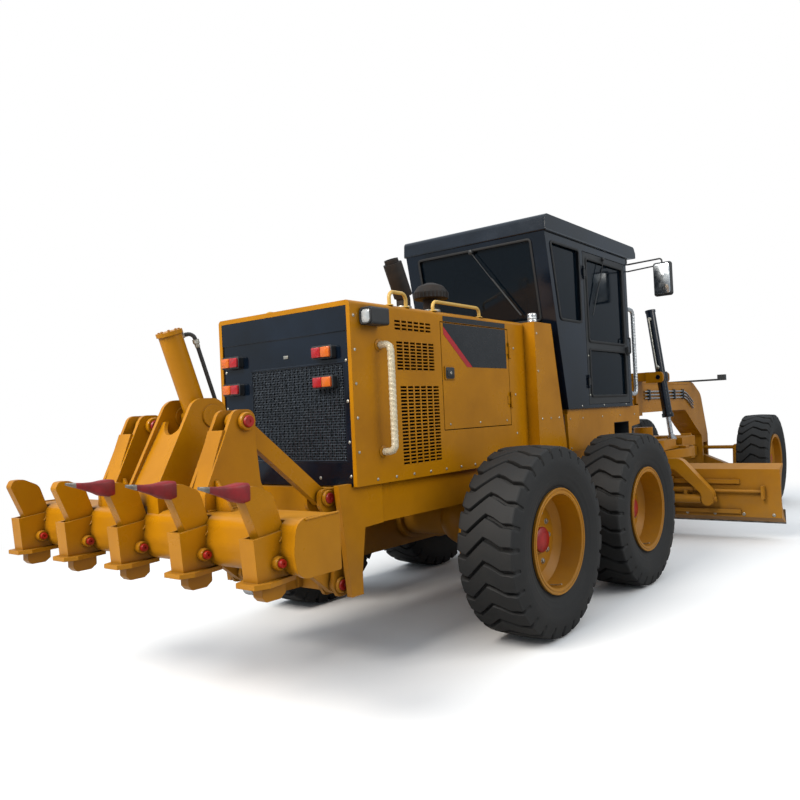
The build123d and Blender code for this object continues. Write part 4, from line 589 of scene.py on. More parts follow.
def radiator_mesh():
    """Woven wire over the radiator opening: each wire is a sine that passes over and under its neighbours,
    in a folded frame."""
    x0, x1, z0, z1, y = -0.533, 0.298, 1.247, 1.833, 1.9235
    columns, rows = 52, 37
    wire, swing = round_profile(0.0017, 4), 0.0022
    shapes = []
    for upright, count, crossed, across, along in ((True, columns, rows, (x0, x1), (z0, z1)),
                                                   (False, rows, columns, (z0, z1), (x0, x1))):
        run = np.linspace(*along, crossed * 2 + 1)
        for i in range(count):
            place = np.full_like(run, across[0] + (i + 0.5) * (across[1] - across[0]) / count)
            wave = (swing if upright else -swing) * np.cos(np.arange(len(run)) * np.pi / 2 + i * np.pi)
            x, z = (place, run) if upright else (run, place)
            shapes.append(sweep(seat(np.stack([x, y + wave, z], 1)), wire, (1, 0, 0) if upright else UP))
    make("radiator_mesh", shapes, "rear_frame", WIRE, crease=60)
    corners = [(x0, y + 0.003, z0), (x1, y + 0.003, z0), (x1, y + 0.003, z1), (x0, y + 0.003, z1)]
    frame_profile = rounded_box(0.014, 0.006, 0.002, 2)
    edges = [sweep(seat([corners[k], corners[(k + 1) % 4]]), frame_profile, up=(0, 1, 0)) for k in range(4)]
    make("radiator_mesh_frame", edges, "rear_frame", BLACK)


TAIL_LAMPS = ((-0.475, -0.312, 1.862, 1.936), (-0.475, -0.312, 1.686, 1.758),
              (0.376, 0.545, 1.862, 1.936), (0.376, 0.545, 1.686, 1.758))


def tail_lamps():
    """Each tail lamp: a dark frame, an amber half outboard and a red half inboard, both a little domed."""
    frames, amber, red = [], [], []
    y = 1.9663
    for x0, x1, z0, z1 in TAIL_LAMPS:
        frames.append(bezel_y(x0 - 0.003, x1 + 0.003, z0 - 0.003, z1 + 0.003, y - 0.004, 0.006, 0.002, 0.012))
        middle = (x0 + x1) / 2
        halves = ((x0 + 0.006, middle - 0.002), (middle + 0.002, x1 - 0.006))
        outer, inner = halves if x0 < 0 else halves[::-1]
        amber.append(bezel_y(*outer, z0 + 0.006, z1 - 0.006, y, 0.016, 0.006, 0.009))
        red.append(bezel_y(*inner, z0 + 0.006, z1 - 0.006, y, 0.014, 0.006, 0.009))
    make("tail_lamp_frames", frames, "rear_frame", PLASTIC)
    make("tail_lamp_amber", amber, "rear_frame", AMBER_LENS)
    make("tail_lamp_red", red, "rear_frame", RED_LENS)


def facing_back(outline, origin, out):
    """An outline stood up across the machine, out behind its origin."""
    return origin + np.stack([outline[:, 0], np.full(len(outline), out), outline[:, 1]], 1)


def work_lamps():
    """Rear work lamps: a rounded bezel, a flat reflector and a clear lens that bulges rearwards."""
    bezels, lenses, bowls = [], [], []
    outer, inner = rounded_box(0.088, 0.098, 0.024, 6), rounded_box(0.070, 0.080, 0.020, 6)
    levels = ((outer, 0.0), (outer, 0.008), (outer * 0.97, 0.011), (inner, 0.009), (inner * 0.97, 0.001))
    for _, sign in SIDES:
        x = sign * (HOOD_X + 0.0475)
        origin = seat((x, 1.850, 2.0975))
        bezels.append(skin([facing_back(ring, origin, out) for ring, out in levels], first=False, last=False))
        dome = [facing_back(inner * 0.98 * share, origin, 0.003 + 0.009 * (1 - share ** 2))
                for share in np.linspace(1.0, 0.08, 7)]
        lenses.append(skin(dome, first=False))
        bowls.append(bezel_y(x - 0.034, x + 0.034, 2.0585, 2.1365, 1.850, 0.0016, 0.0006, 0.016))
    make("work_lamp_bezels", bezels, "rear_frame", PLASTIC, crease=30)
    make("work_lamp_lenses", lenses, "rear_frame", CLEAR_LENS, crease=60)
    make("work_lamp_bowls", bowls, "rear_frame", SILVERED)


# piece, body (of the side when it ends in _), finish, (y, z) corners for the left side
SIGNS = (("side_patch_door", "engine_door_", SIGN_BLACK,
          [(0.262, 1.821), (0.262, 2.116), (1.046, 2.116), (1.046, 2.094), (0.716, 1.821)]),
         ("side_stripe_door", "engine_door_", SIGN_RED,
          [(0.719, 1.821), (1.046, 2.0915), (1.046, 2.040), (0.783, 1.821)]),
         ("side_patch_hood", "rear_frame", SIGN_BLACK, [(0.262, 2.128), (0.262, 2.164), (1.046, 2.164), (1.046, 2.128)]))


def hood_signs():
    """Plain black patch cut off on the slant by a red stripe, in two parts: on the door and on the strip above
    it. Each is flat film inside its corners, laid on the panel."""
    for side, sign in SIDES:
        for name, body, finish, corners in SIGNS:
            corners = np.array(corners) * (sign, 1)
            (y0, z0), (y1, z1) = np.diff(corners[:3], axis=0)
            if (y0 * z1 - z0 * y1 > 0) == (sign < 0):
                corners = corners[::-1]
            film = plaque(corners, 0.0006, 0.0002, seat((sign * (HOOD_X + 0.0008), 0, 0)), (0, sign, 0), UP)
            make(f"{name}_{side}", film, body + side if body[-1] == "_" else body, finish)


def hood_hardware():
    """Door latches, bolts round the hood and tank, film and feet of the grab rails, rail feet on the hood."""
    for side, sign in SIDES:
        x = sign * (HOOD_X + 0.008)
        latch = slab(x, x + sign * 0.004, 0.952, 1.048, 1.736, 1.814, 0.002, 0.012)
        paddle = slab(x + sign * 0.004, x + sign * 0.009, 0.966, 1.034, 1.748, 1.802, 0.003, 0.008)
        make(f"door_latch_{side}", [latch, paddle], f"engine_door_{side}", PLASTIC)
        axis = (sign, 0, 0)
        disc = [(0.011, 0), (0.011, 0.003), (0.007, 0.005), (0, 0.004)]
        key = lathe(disc, seat((x + sign * 0.009, 1.0, 1.775)), axis, 20)
        make(f"door_latch_key_{side}", key, f"engine_door_{side}", ZINC)
        edge = [(y, 1.128) for y in np.arange(0.06, 1.93, 0.17)] + [(1.908, z) for z in np.arange(1.3, 2.15, 0.2)]
        edge += [(0.15, z) for z in (1.32, 1.62, 1.98)]
        tank = [(y, z) for z in (1.14, 1.42) for y in (-0.36, -0.22, -0.08)] + [(-0.05, 1.8), (-0.05, 2.1)]
        places = sided(sign, *((HOOD_X, y, z) for y, z in edge), *((0.708, y, z) for y, z in tank))
        make(f"panel_bolts_{side}", round_dots(places, axis, 0.0095, 0.005), "rear_frame", ZINC, crease=30)
        places = sided(sign, *((HOOD_X, y, 1.425) for y in (0.29, 0.65, 1.01)))
        make(f"door_bolts_{side}", round_dots(places, axis, 0.008, 0.004), f"engine_door_{side}", ZINC, crease=30)
        low, high, y = 1.290, 1.935, 1.700
        wall, bar = HOOD_X + 0.006, HOOD_X + 0.095
        grab = bend(sided(sign, (wall, y, high), (bar, y, high), (bar, y, low), (wall, y, low)), 0.05, 10)
        make(f"grab_film_{side}", wound_film(grab, 0.0215), "rear_frame", WRAP, crease=80)
        foot = [(0.036, 0.0), (0.036, 0.004), (0.028, 0.009), (0.023, 0.010)]
        feet = [lathe(foot, seat((sign * HOOD_X, y, z)), axis, 24) for z in (low, high)]
        make(f"grab_feet_{side}", feet, "rear_frame", YELLOW)
    rear = seat([(x, PANEL_Y, z) for x in (-0.555, 0.555) for z in (1.16, 1.36, 1.6, 1.84, 2.1)] +
                [(x, PANEL_Y, 1.150) for x in (-0.3, 0.0, 0.3)])
    make("rear_panel_bolts", round_dots(rear, REARWARDS, 0.010, 0.005), "rear_frame", ZINC, crease=30)
    make("rear_panel_latch", bezel_y(-0.06, -0.02, 1.888, 1.908, 1.928, 0.006, 0.002, 0.004), "rear_frame", ZINC)
    foot = [(0.027, 0.0), (0.027, 0.003), (0.020, 0.007), (0.0125, 0.008)]
    feet = [lathe(foot, seat((sign * (HOOD_X - 0.026), y, HOOD_TOP)), UP, 20)
            for _, sign in SIDES for y in (0.565, 1.115, 1.395, 1.555)]
    make("rail_feet", feet, "rear_frame", CREAM)


def wound_film(path, radius):
    """Film wound round a tube: radius + folds, where the folds are a helix of ridges and a hashed crumple."""
    lengths = np.concatenate([[0], np.cumsum(np.linalg.norm(np.diff(path, axis=0), axis=1))])
    s = np.arange(0, lengths[-1], 0.007)
    path = np.stack([np.interp(s, lengths, path[:, k]) for k in range(3)], 1)
    tangent = unit(np.gradient(path, axis=0))
    u = unit(np.cross(tangent, (0.1, 1.0, 0.05)))
    v = np.cross(tangent, u)
    a = np.linspace(0, 2 * np.pi, 18, endpoint=False)
    helix = 0.0016 * np.sin(s[:, None] * 210 + a) ** 3
    crumple = 0.0011 * np.sin(s[:, None] * 931 + a * 5) * np.sin(s[:, None] * 377 - a * 3)
    r = (radius + helix + crumple)[..., None]
    return skin(path[:, None] + r * (np.cos(a)[:, None] * u[:, None] + np.sin(a)[:, None] * v[:, None]))


def stacks_and_caps():
    """Pre-cleaner ribs and band, exhaust clamp, flange and jacket, silver film over the filler cap."""
    x, y, stack_y = -0.250, 0.700, 1.020
    ribs = []
    for out in around((1, 0, 0), (0, 1, 0), 28):
        base = seat((x, y, 0)) + out * 0.1285
        route = [base + (0, 0, 2.358), base + (0, 0, 2.385), base + out * 0.002 + (0, 0, 2.402)]
        ribs.append(sweep(route, rounded_box(0.006, 0.008, 0.002, 2), out))
    make("pre_cleaner_ribs", ribs, "rear_frame", PLASTIC)
    band = ring_lathe([(0.0625, -0.009), (0.067, -0.008), (0.068, 0.0), (0.067, 0.008), (0.0625, 0.009)],
                      seat((x, y, 2.265)), UP, 40)
    clamp = ring_lathe([(0.0505, -0.012), (0.056, -0.010), (0.057, 0.0), (0.056, 0.010), (0.0505, 0.012)],
                       seat((x, stack_y, 2.262)), UP, 40)
    low, high = seat([(x, stack_y, 2.345), (x, 1.128, 2.580)])
    jacket = [(0.0515, 0.0), (0.066, 0.0), (0.0668, 0.004), (0.0668, 0.240), (0.066, 0.244), (0.0515, 0.244)]
    make("exhaust_jacket", ring_lathe(jacket, low, high - low, 40), "rear_frame", SOOT)
    flange = ring_lathe([(0.0505, 0.0), (0.084, 0.0), (0.084, 0.006), (0.078, 0.009), (0.0505, 0.009)],
                        seat((x, stack_y, HOOD_TOP)), UP, 40)
    make("stack_clamps", [band, clamp, flange], "rear_frame", ZINC)
    cap = [(0.0375, 0.0), (0.0385, 0.012), (0.0372, 0.024), (0.0395, 0.034), (0.0378, 0.046), (0.0392, 0.058),
           (0.0370, 0.068), (0.031, 0.0735), (0.015, 0.0742), (0, 0.0735)]
    make("filler_cap_film", lathe(cap, seat((-0.660, -0.075, HOOD_TOP)), UP, 26), "rear_frame", FOIL, crease=18)


louvre_ribs()
radiator_mesh()
tail_lamps()
work_lamps()
hood_signs()
hood_hardware()
stacks_and_caps()


# ---------------------------------------------------------------- ripper
def pin_end(place, axis, radius, out):
    """Painted end of a pin: chamfered disc with a centre hole."""
    return lathe([(radius, -0.001), (radius, out * 0.6), (radius * 0.86, out), (radius * 0.3, out),
                  (radius * 0.22, out * 0.7), (0, out * 0.7)], place, axis, 28)


def collar(place, axis, inner, outer, out):
    """Welded boss round a pin."""
    profile = [(inner, 0.0), (outer, 0.0), (outer, out * 0.7), (outer - 0.004, out), (inner, out)]
    return ring_lathe(profile, place, axis, 32)


def pinned(end, sign, radius, out, boss, back, height):
    """A pin's painted end that stands out along X, and the boss round it, which starts behind the end."""
    axis = np.array([sign, 0, 0])
    return pin_end(end, axis, radius, out), collar(end - axis * back, axis, radius + 0.0008, boss, height)


def weld_bead(a, b, radius=0.006):
    """Weld run: a bead whose radius swells with every puddle, about every radius along it."""
    a, b = np.asarray(a, float), np.asarray(b, float)
    count = max(8, int(np.linalg.norm(b - a) / (radius * 0.55)))
    t = np.linspace(0, 1, count)
    centre = a + (b - a) * t[:, None]
    tangent = unit(b - a)
    u = unit(np.cross(tangent, (0.31, 0.57, 0.76)))
    r = radius * (0.82 + 0.18 * np.abs(np.sin(np.arange(count) * np.pi / 3)))
    return skin(centre[:, None] + r[:, None, None] * around(u, np.cross(tangent, u), 8))


# (share of the length, half width, half height, rise of the middle)
SPIKE = ((0.0, 0.034, 0.040, 0.000), (0.10, 0.037, 0.044, 0.000), (0.30, 0.034, 0.036, 0.004),
         (0.42, 0.024, 0.027, 0.010), (0.62, 0.016, 0.018, 0.020), (0.85, 0.010, 0.011, 0.033),
         (1.0, 0.006, 0.006, 0.041))


def spike(x, start, end):
    """Ripper tooth from its socket to its point: rounded rectangles whose half width and half height fall
    quickly behind the socket and then slowly, along a line that rises to the point."""
    t = np.linspace(start, end, 4 if start else 15)
    half_x, half_z, rise = (np.interp(t, [row[0] for row in SPIKE], [row[k] for row in SPIKE]) for k in (1, 2, 3))
    rings = []
    for share, w, h, up in zip(t, half_x, half_z, rise):
        outline = rounded_box(2 * w, 2 * h, min(w, h) * 0.45, 3)
        y = np.full(len(outline), 3.050 + 0.221 * share)
        rings.append(np.stack([x + outline[:, 0], y, 1.214 + up + outline[:, 1]], 1))
    return skin(seat(rings))


# (y, z) of the pins of the shanks, of a tower's links and of the frame's brackets, and the cylinder's trunnion
SHANK_PIN = (2.940, 0.900)
TOWER_X, TOWER_PINS = 0.414, ((2.605, 1.512), (2.531, 0.999))
BRACKET_PINS = ((2.054, 1.050), (1.980, 0.537))
TRUNNION = (2.545, 1.551)
CYLINDER_LEAN = (0, 0.333, 1.011)


def ripper_pins():
    """Pin ends in their bosses, and weld runs."""
    ends, frame_ends, welds = [], [], []
    for x in SHANK_PITCH * np.arange(-2, 3):
        ends += [pinned(seat((x + sign * 0.072, *SHANK_PIN)), sign, 0.0195, 0.022, 0.031, 0.024, 0.030)
                 for sign in (-1, 1)]
        welds += [weld_bead(seat((x + dx, 2.862, 1.068)), seat((x + dx, 2.921, 0.985)), 0.005) for dx in (-0.049, 0.049)]
    for flip in (-1, 1):
        x = flip * TOWER_X
        ends += [pinned(seat((x + sign * 0.096, *pin)), sign, 0.0315, 0.016, 0.048, 0.022, 0.026)
                 for pin in TOWER_PINS for sign in (-1, 1)]
        welds += [weld_bead(seat((x + dx, 2.66, 1.083)), seat((x + dx, 2.85, 1.083)), 0.007)
                  for dx in (-0.07548, 0.07548)]
        frame_ends += [pinned(seat((x + flip * end, *pin)), flip * sign, 0.0315, 0.018, 0.046, 0.008, 0.018)
                       for pin in BRACKET_PINS for sign, end in ((-1, -0.072), (1, 0.076))]
    pins, bosses = (list(parts) for parts in zip(*ends))
    for sign in (-1, 1):
        bosses.append(collar(seat((sign * 0.137, *TRUNNION)), (sign, 0, 0), 0.036, 0.060, 0.008))
        welds.append(weld_bead(*sided(sign, (1.186, 2.66, 1.084), (1.186, 2.86, 1.078)), 0.006))
    make("ripper_pin_ends", pins, "ripper_carrier", PIN_RED)
    make("ripper_pin_bosses", bosses, "ripper_carrier", YELLOW)
    make("ripper_welds", welds, "ripper_carrier", YELLOW, crease=70)
    make("frame_pin_ends", [end for end, _ in frame_ends], "rear_frame", PIN_RED)
    make("frame_pin_bosses", [boss for _, boss in frame_ends], "rear_frame", YELLOW)


def dress_ripper():
    """Tower gussets, teeth, cylinder gland, cap bolts and hose ends."""
    gussets = []
    for sign in (-1, 1):
        for foot, lean in ((0.489, 1), (0.339, -1)):
            corners = np.array([(0, 0), (0.115, 0), (0.115, 0.012), (0.012, 0.150), (0, 0.150)])
            outline = corners if lean * sign > 0 else corners[::-1] * (-1, 1)
            gussets.append(plaque(outline, 0.014, 0.002, seat((sign * foot, 2.80, 1.079)), (1, 0, 0), UP))
    make("tower_gussets", gussets, "ripper_carrier", YELLOW)
    places = SHANK_PITCH * np.arange(-2, 1)
    make("ripper_spikes", [spike(x, 0.0, 0.80) for x in places], "ripper_carrier", SPIKE_RED, crease=50,
         stands_for=("ripper_teeth",))
    make("ripper_spike_tips", [spike(x, 0.80, 1.0) for x in places], "ripper_carrier", STEEL, crease=50)
    along, side, top = unit(CYLINDER_LEAN), np.array([1.0, 0, 0]), seat((0, *TRUNNION))
    gland = [(0.0625, -0.020), (0.069, -0.018), (0.0705, 0.0), (0.069, 0.018), (0.0625, 0.020)]
    make("ripper_cylinder_gland", ring_lathe(gland, top - along * 0.462, along, 40), "ripper_barrel", YELLOW)
    across = np.cross(along, side)
    bolts = [hex_bolt(top + along * 0.492 + 0.052 * (math.cos(a) * side + math.sin(a) * across), along, 0.007, False)
             for a in np.arange(8) * math.pi / 4 + 0.2]
    make("ripper_cylinder_bolts", bolts, "ripper_barrel", YELLOW, crease=25)
    ahead = -across
    nut = [(0.0175, -0.012), (0.0175, 0.010), (0.0135, 0.014), (0.0135, 0.030), (0.0115, 0.034)]
    fittings = []
    for distance, inwards in ((0.452, -1), (-0.425, 1)):
        root = top + along * distance - side * 0.030 + ahead * 0.050
        elbow = root + along * inwards * 0.05 - side * 0.036 + ahead * 0.046
        fittings += [lathe(nut, root, 0.82 * ahead - 0.57 * side, 6), lathe(nut, elbow, along * inwards, 20)]
    make("ripper_hose_ends", fittings, "ripper_barrel", ZINC, crease=25)


ripper_pins()
dress_ripper()


# ---------------------------------------------------------------- cab
def cab_rear_y(z):
    """Rear wall of the cab at a height."""
    return -0.496 + (0.279 / 1.466) * (z - 1.484)


def seal_loop(corners, radius, up):
    """Rubber strip round a window: a rounded profile along a closed route with rounded corners."""
    corners = np.asarray(corners, float)
    route = [corner_curve(*three, radius) for three in zip(np.roll(corners, 1, 0), corners, np.roll(corners, -1, 0))]
    return sweep(seat(np.concatenate(route)), rounded_box(0.022, 0.012, 0.005, 3), up=up, closed=True)


def cab_seals():
    """Window seals of the rear, front, side and door lights."""
    x, z0, z1 = 0.590, 2.240, 2.900
    y0, y1 = cab_rear_y(z0) + 0.004, cab_rear_y(z1) + 0.004
    fixed = [seal_loop([(-x, y0, z0), (x, y0, z0), (x, y1, z1), (-x, y1, z1)], 0.03, (0, 1, -0.19)),
             seal_loop([(-0.64, -1.866, 1.64), (0.64, -1.866, 1.64), (0.64, -1.866, 2.89), (-0.64, -1.866, 2.89)], 0.03,
                       REARWARDS)]
    for side, sign in SIDES:
        light = ((-0.818, 2.240), (-0.818, 2.875), (-0.307, 2.875), (-0.432, 2.240))
        fixed.append(seal_loop([(sign * CAB_WALL_X, y, z) for y, z in light], 0.035, (1, 0, 0)))
        y0, y1 = -1.740, -0.952
        loops = [seal_loop([(sign * CAB_WALL_X, *c) for c in ((y0, z0), (y1, z0), (y1, z1), (y0, z1))], 0.03, (1, 0, 0))
                 for z0, z1 in ((2.080, 2.825), (1.589, 2.010))]
        make(f"door_seals_{side}", loops, f"cab_door_{side}", SEAL)
        y, wall, grip_x = -1.770, 0.752, 0.776
        grip = bend(sided(sign, (wall, y, 2.000), (grip_x, y, 2.000), (grip_x, y, 2.150), (wall, y, 2.150)), 0.014, 5)
        handle = [slab(sign * wall, sign * 0.758, -1.778, -1.754, 1.972, 2.068, 0.002, 0.008),
                  sweep(grip, round_profile(0.007, 12), up=REARWARDS)]
        make(f"cab_door_handle_{side}", handle, f"cab_door_{side}", PLASTIC)
        heads = [(0.730, y, z) for y, z in ((-0.92, 1.60), (-0.92, 1.95), (-1.7, 1.505), (-1.2, 1.505), (-0.75, 1.505))]
        heads += [(0.705, y, 1.40) for y in (-1.95, -1.6, -1.2, -0.8, -0.56)]
        heads += [(0.705, y, 1.15) for y in (-1.4, -1.0, -0.56)]
        dots = round_dots(sided(sign, *heads), (sign, 0, 0), 0.0085, 0.005)
        make(f"cab_bolts_{side}", dots, "front_frame", ZINC, crease=30)
    make("cab_seals", fixed, "front_frame", SEAL)


def wiper(pivot, tip, bow, arm, blade, reach, up):
    """Arm from the pivot to the tip through a middle moved out by bow, and a blade that runs past the tip
    by reach, before and behind. arm and blade are rounded boxes."""
    pivot, tip = np.array(pivot), np.array(tip)
    d = unit(tip - pivot)
    return [sweep(seat([pivot, pivot * 0.5 + tip * 0.5 + bow, tip]), rounded_box(*arm, 2), up=up),
            sweep(seat([tip - d * reach[0], tip + d * reach[1]]), rounded_box(*blade, 2), up=up)]


def wipers():
    """A wiper arm and blade on the rear window and on each upper door light."""
    pivot = (0.0, cab_rear_y(2.87) + 0.022, 2.885)
    shapes = wiper(pivot, (-0.30, cab_rear_y(2.46) + 0.020, 2.46), (0, 0.010, 0), (0.010, 0.006, 0.002),
                   (0.012, 0.014, 0.004), (0.22, 0.20), UP)
    shapes.append(lathe([(0.022, -0.02), (0.022, 0.008), (0.014, 0.014), (0, 0.015)], seat(pivot), (0, 1, -0.19), 20))
    make("rear_wiper", shapes, "front_frame", PLASTIC)
    for side, sign in SIDES:
        pivot = (sign * 0.748, -1.30, 2.862)
        shapes = wiper(pivot, (sign * 0.744, -1.10, 2.46), (sign * 0.008, 0, 0), (0.008, 0.006, 0.002),
                       (0.010, 0.012, 0.003), (0.20, 0.16), REARWARDS)
        shapes.append(lathe([(0.018, -0.016), (0.018, 0.006), (0.010, 0.010), (0, 0.011)], seat(pivot), (sign, 0, 0), 18))
        make(f"door_wiper_{side}", shapes, f"cab_door_{side}", PLASTIC)


def roof_details():
    """Drip rails along the roof, lamps under its front eave, mirror glass and film on the cab's grab rails."""
    rail_path = [(-0.744, -0.214, 2.956), (0.744, -0.214, 2.956), (0.744, -1.86, 2.956), (-0.744, -1.86, 2.956)]
    rails = [sweep(seat([rail_path[k], rail_path[(k + 1) % 4]]), rounded_box(0.010, 0.014, 0.004, 3)) for k in (1, 3)]
    make("roof_drip_rails", rails, "front_frame", BLACK)
    housings, lenses = [], []
    for x in (-0.60, -0.22, 0.22, 0.60):
        origin = seat((x, -2.045, 2.962))
        shell = [(0.030, 0.030), (0.052, 0.020), (0.060, -0.028), (0.054, -0.034), (0.050, -0.022)]
        housings.append(lathe(shell, origin, (0, 1, 0.25), 28))
        lenses.append(lathe([(0.052, -0.030), (0.036, -0.036), (0, -0.038)], origin, (0, 1, 0.25), 28))
    make("roof_lamp_housings", housings, "front_frame", PLASTIC)
    make("roof_lamp_lenses", lenses, "front_frame", CLEAR_LENS)
    for side, sign in SIDES:
        points, faces = bezel_y(sign * 1.05 - 0.080, sign * 1.05 + 0.080, 2.575, 2.870, -2.002, 0.009, 0.003, 0.024)
        make(f"mirror_glass_{side}", (points + (0, 0.010, 0), faces), "front_frame", SILVERED)
        path = sided(sign, (0.71, -1.868, 2.450), (0.71, -2.020, 2.450), (0.71, -2.020, 1.600), (0.71, -1.868, 1.600))
        make(f"cab_grab_film_{side}", wound_film(bend(path, 0.065, 10), 0.0205), "front_frame",
             FOIL if sign < 0 else WRAP, crease=80)


def seat_cushion(width, depth, height, crown, steps=34):
    """Stuffed block: a superellipse plan, thick in the middle, that falls to a piped edge,
    with three sewn channels across it."""
    u = np.linspace(-1, 1, steps)
    a, b = np.meshgrid(u, u, indexing="ij")
    edge = (1 - np.abs(a) ** 6) * (1 - np.abs(b) ** 6)
    full = np.clip(edge, 0, 1) ** 0.28
    channel = sum(np.exp(-((b - c) / 0.05) ** 2) for c in (-0.45, 0.0, 0.45))
    bolster = 0.35 * np.clip(np.abs(a) - 0.62, 0, 1) ** 1.0
    top = full * (height / 2 + crown * (1 - 0.5 * (a ** 2 + b ** 2)) + bolster * height - 0.006 * channel)
    low = -height / 2 * full
    squeeze = 1 - 0.02 * (1 - full)
    upper = np.stack([a * width / 2 * squeeze, b * depth / 2 * squeeze, top], -1).reshape(-1, 3)
    lower = np.stack([a * width / 2 * squeeze, b * depth / 2 * squeeze, low], -1).reshape(-1, 3)
    faces = grid_faces(steps, steps)
    faces += [[i + steps * steps for i in face[::-1]] for face in grid_faces(steps, steps)]
    rim = [i for i in range(steps)] + [i * steps + steps - 1 for i in range(1, steps)]
    rim += [(steps - 1) * steps + i for i in range(steps - 2, -1, -1)] + [i * steps for i in range(steps - 2, 0, -1)]
    for k, i in enumerate(rim):
        j = rim[(k + 1) % len(rim)]
        faces.append([i, i + steps * steps, j + steps * steps, j])
    return np.concatenate([upper, lower]), faces


def placed(shape, centre, tilt=0.0):
    """A shape turned about X by tilt degrees and moved to a place."""
    turn = np.array(Matrix.Rotation(math.radians(tilt), 3, "X"))
    return shape[0] @ turn.T + seat(centre), shape[1]


def cab_inside():
    """Seat, its base and arm rests, steering column with wheel, levers and a floor mat."""
    cushion = make("seat_cushion", placed(seat_cushion(0.50, 0.44, 0.10, 0.012), (0, -0.94, 1.955), 4), "front_frame",
                   CLOTH, crease=70, stands_for=("cab_interior",))
    back = make("seat_back", placed(seat_cushion(0.48, 0.56, 0.10, 0.012), (0, -0.70, 2.26), 98), "front_frame", CLOTH,
                crease=70)
    base = [sweep(seat([(0, -0.93, z) for z in (1.535, 1.60, 1.75, 1.895)]), rounded_box(0.30, 0.30, 0.04, 5), REARWARDS)]
    ends = (-1, 1)
    base += [sweep(bend(sided(s, (0.285, -0.70, 2.06), (0.285, -0.74, 2.14), (0.285, -1.05, 2.14)), 0.03, 5),
                   rounded_box(0.055, 0.040, 0.014, 3), (1, 0, 0)) for s in ends]
    base += [sweep(sided(s, (0.385, -1.28, 1.90), (0.385, -0.86, 1.93)), rounded_box(0.13, 0.15, 0.03, 4)) for s in ends]
    base += [sweep(sided(s, (0.385, -1.05, 1.535), (0.385, -1.05, 1.84)), rounded_box(0.09, 0.16, 0.02, 4), REARWARDS)
             for s in ends]
    make("seat_base", base, "front_frame", PLASTIC)
    stand = seat([(0, -1.66, 1.535), (0, -1.64, 1.70), (0, -1.60, 1.90), (0, -1.575, 2.045)])
    console = [sweep(stand, rounded_box(0.22, 0.13, 0.035, 5), REARWARDS),
               sweep(seat([(-0.20, -1.60, 2.055), (0.20, -1.60, 2.055)]), rounded_box(0.10, 0.07, 0.03, 5)),
               sweep(seat([(0, -1.60, 2.06), (0, -1.53, 2.13)]), round_profile(0.024, 16), (1, 0, 0))]
    centre, axis = seat((0, -1.525, 2.145)), unit((0, 0.574, 0.819))
    u, v = np.array([1.0, 0, 0]), np.cross(axis, (1.0, 0, 0))
    console.append(sweep(centre + 0.19 * around(u, v, 64), round_profile(0.0145, 12), axis, closed=True))
    console.append(lathe([(0.05, -0.02), (0.052, 0.006), (0.03, 0.016), (0, 0.018)], centre, axis, 28))
    console += [sweep([centre - axis * 0.012, centre + 0.185 * (math.cos(t) * u + math.sin(t) * v)],
                      rounded_box(0.034, 0.010, 0.004, 3), axis) for t in (0.5, 2.64, 4.71)]
    make("steering_console", console, "front_frame", PLASTIC)
    levers = []
    for s in ends:
        for k in range(4):
            foot = np.array([s * 0.385, -1.25 + k * 0.075, 1.985])
            tip = foot + (s * 0.004, -0.035, 0.16)
            levers.append(sweep(seat([foot, foot * 0.5 + tip * 0.5, tip]), round_profile(0.006, 10), (1, 0, 0)))
            levers.append(lathe([(0.009, -0.02), (0.017, 0.0), (0.019, 0.018), (0.013, 0.034), (0, 0.039)], seat(tip),
                                (0, -0.2, 1), 18))
    make("control_levers", levers, "front_frame", SEAL)
    mat = plaque(rounded_box(1.30, 1.00, 0.05, 5), 0.012, 0.004, seat((0, -1.30, 1.5295)), (1, 0, 0), (0, 1, 0))
    make("floor_mat", mat, "front_frame", SEAL)


cab_seals()
wipers()
roof_details()
cab_inside()


# ---------------------------------------------------------------- front half
def circle_teeth():
    """Teeth inside the circle ring: a closed ring whose inner radius steps in and out once a tooth."""
    teeth = 64
    a = np.linspace(0, 2 * np.pi, teeth * 8, endpoint=False)
    phase = (a * teeth / (2 * np.pi)) % 1.0
    inner = 0.5955 + 0.0125 * np.interp(phase, [0, 0.22, 0.34, 0.66, 0.78, 1], [0, 0, 1, 1, 0, 0])
    profile = []
    for radius, z in ((inner, 0.868), (np.full_like(a, 0.612), 0.868), (np.full_like(a, 0.612), 0.940), (inner, 0.940)):
        profile.append(np.stack([radius * np.cos(a), -3.440 + radius * np.sin(a), np.full_like(a, z)], 1))
    make("circle_teeth", skin(seat(np.stack(profile, 1)), closed=True), "circle", STEEL, crease=30)


def blade_details():
    """Carriage bolts along the cutting edge and their nuts behind."""
    y = -3.1823
    places = seat([[x, y, z] for x in np.arange(-1.75, 1.76, 0.1525) for z in (0.222, 0.272)])
    make("edge_bolts", round_dots(places, (0, -1, 0), 0.011, 0.005), "moldboard", STEEL, crease=30)
    nuts = [hex_bolt(seat((x, -3.0075, 0.270)), REARWARDS, 0.013) for x in np.arange(-1.75, 1.76, 0.305)]
    make("edge_nuts", nuts, "moldboard", ZINC, crease=25)


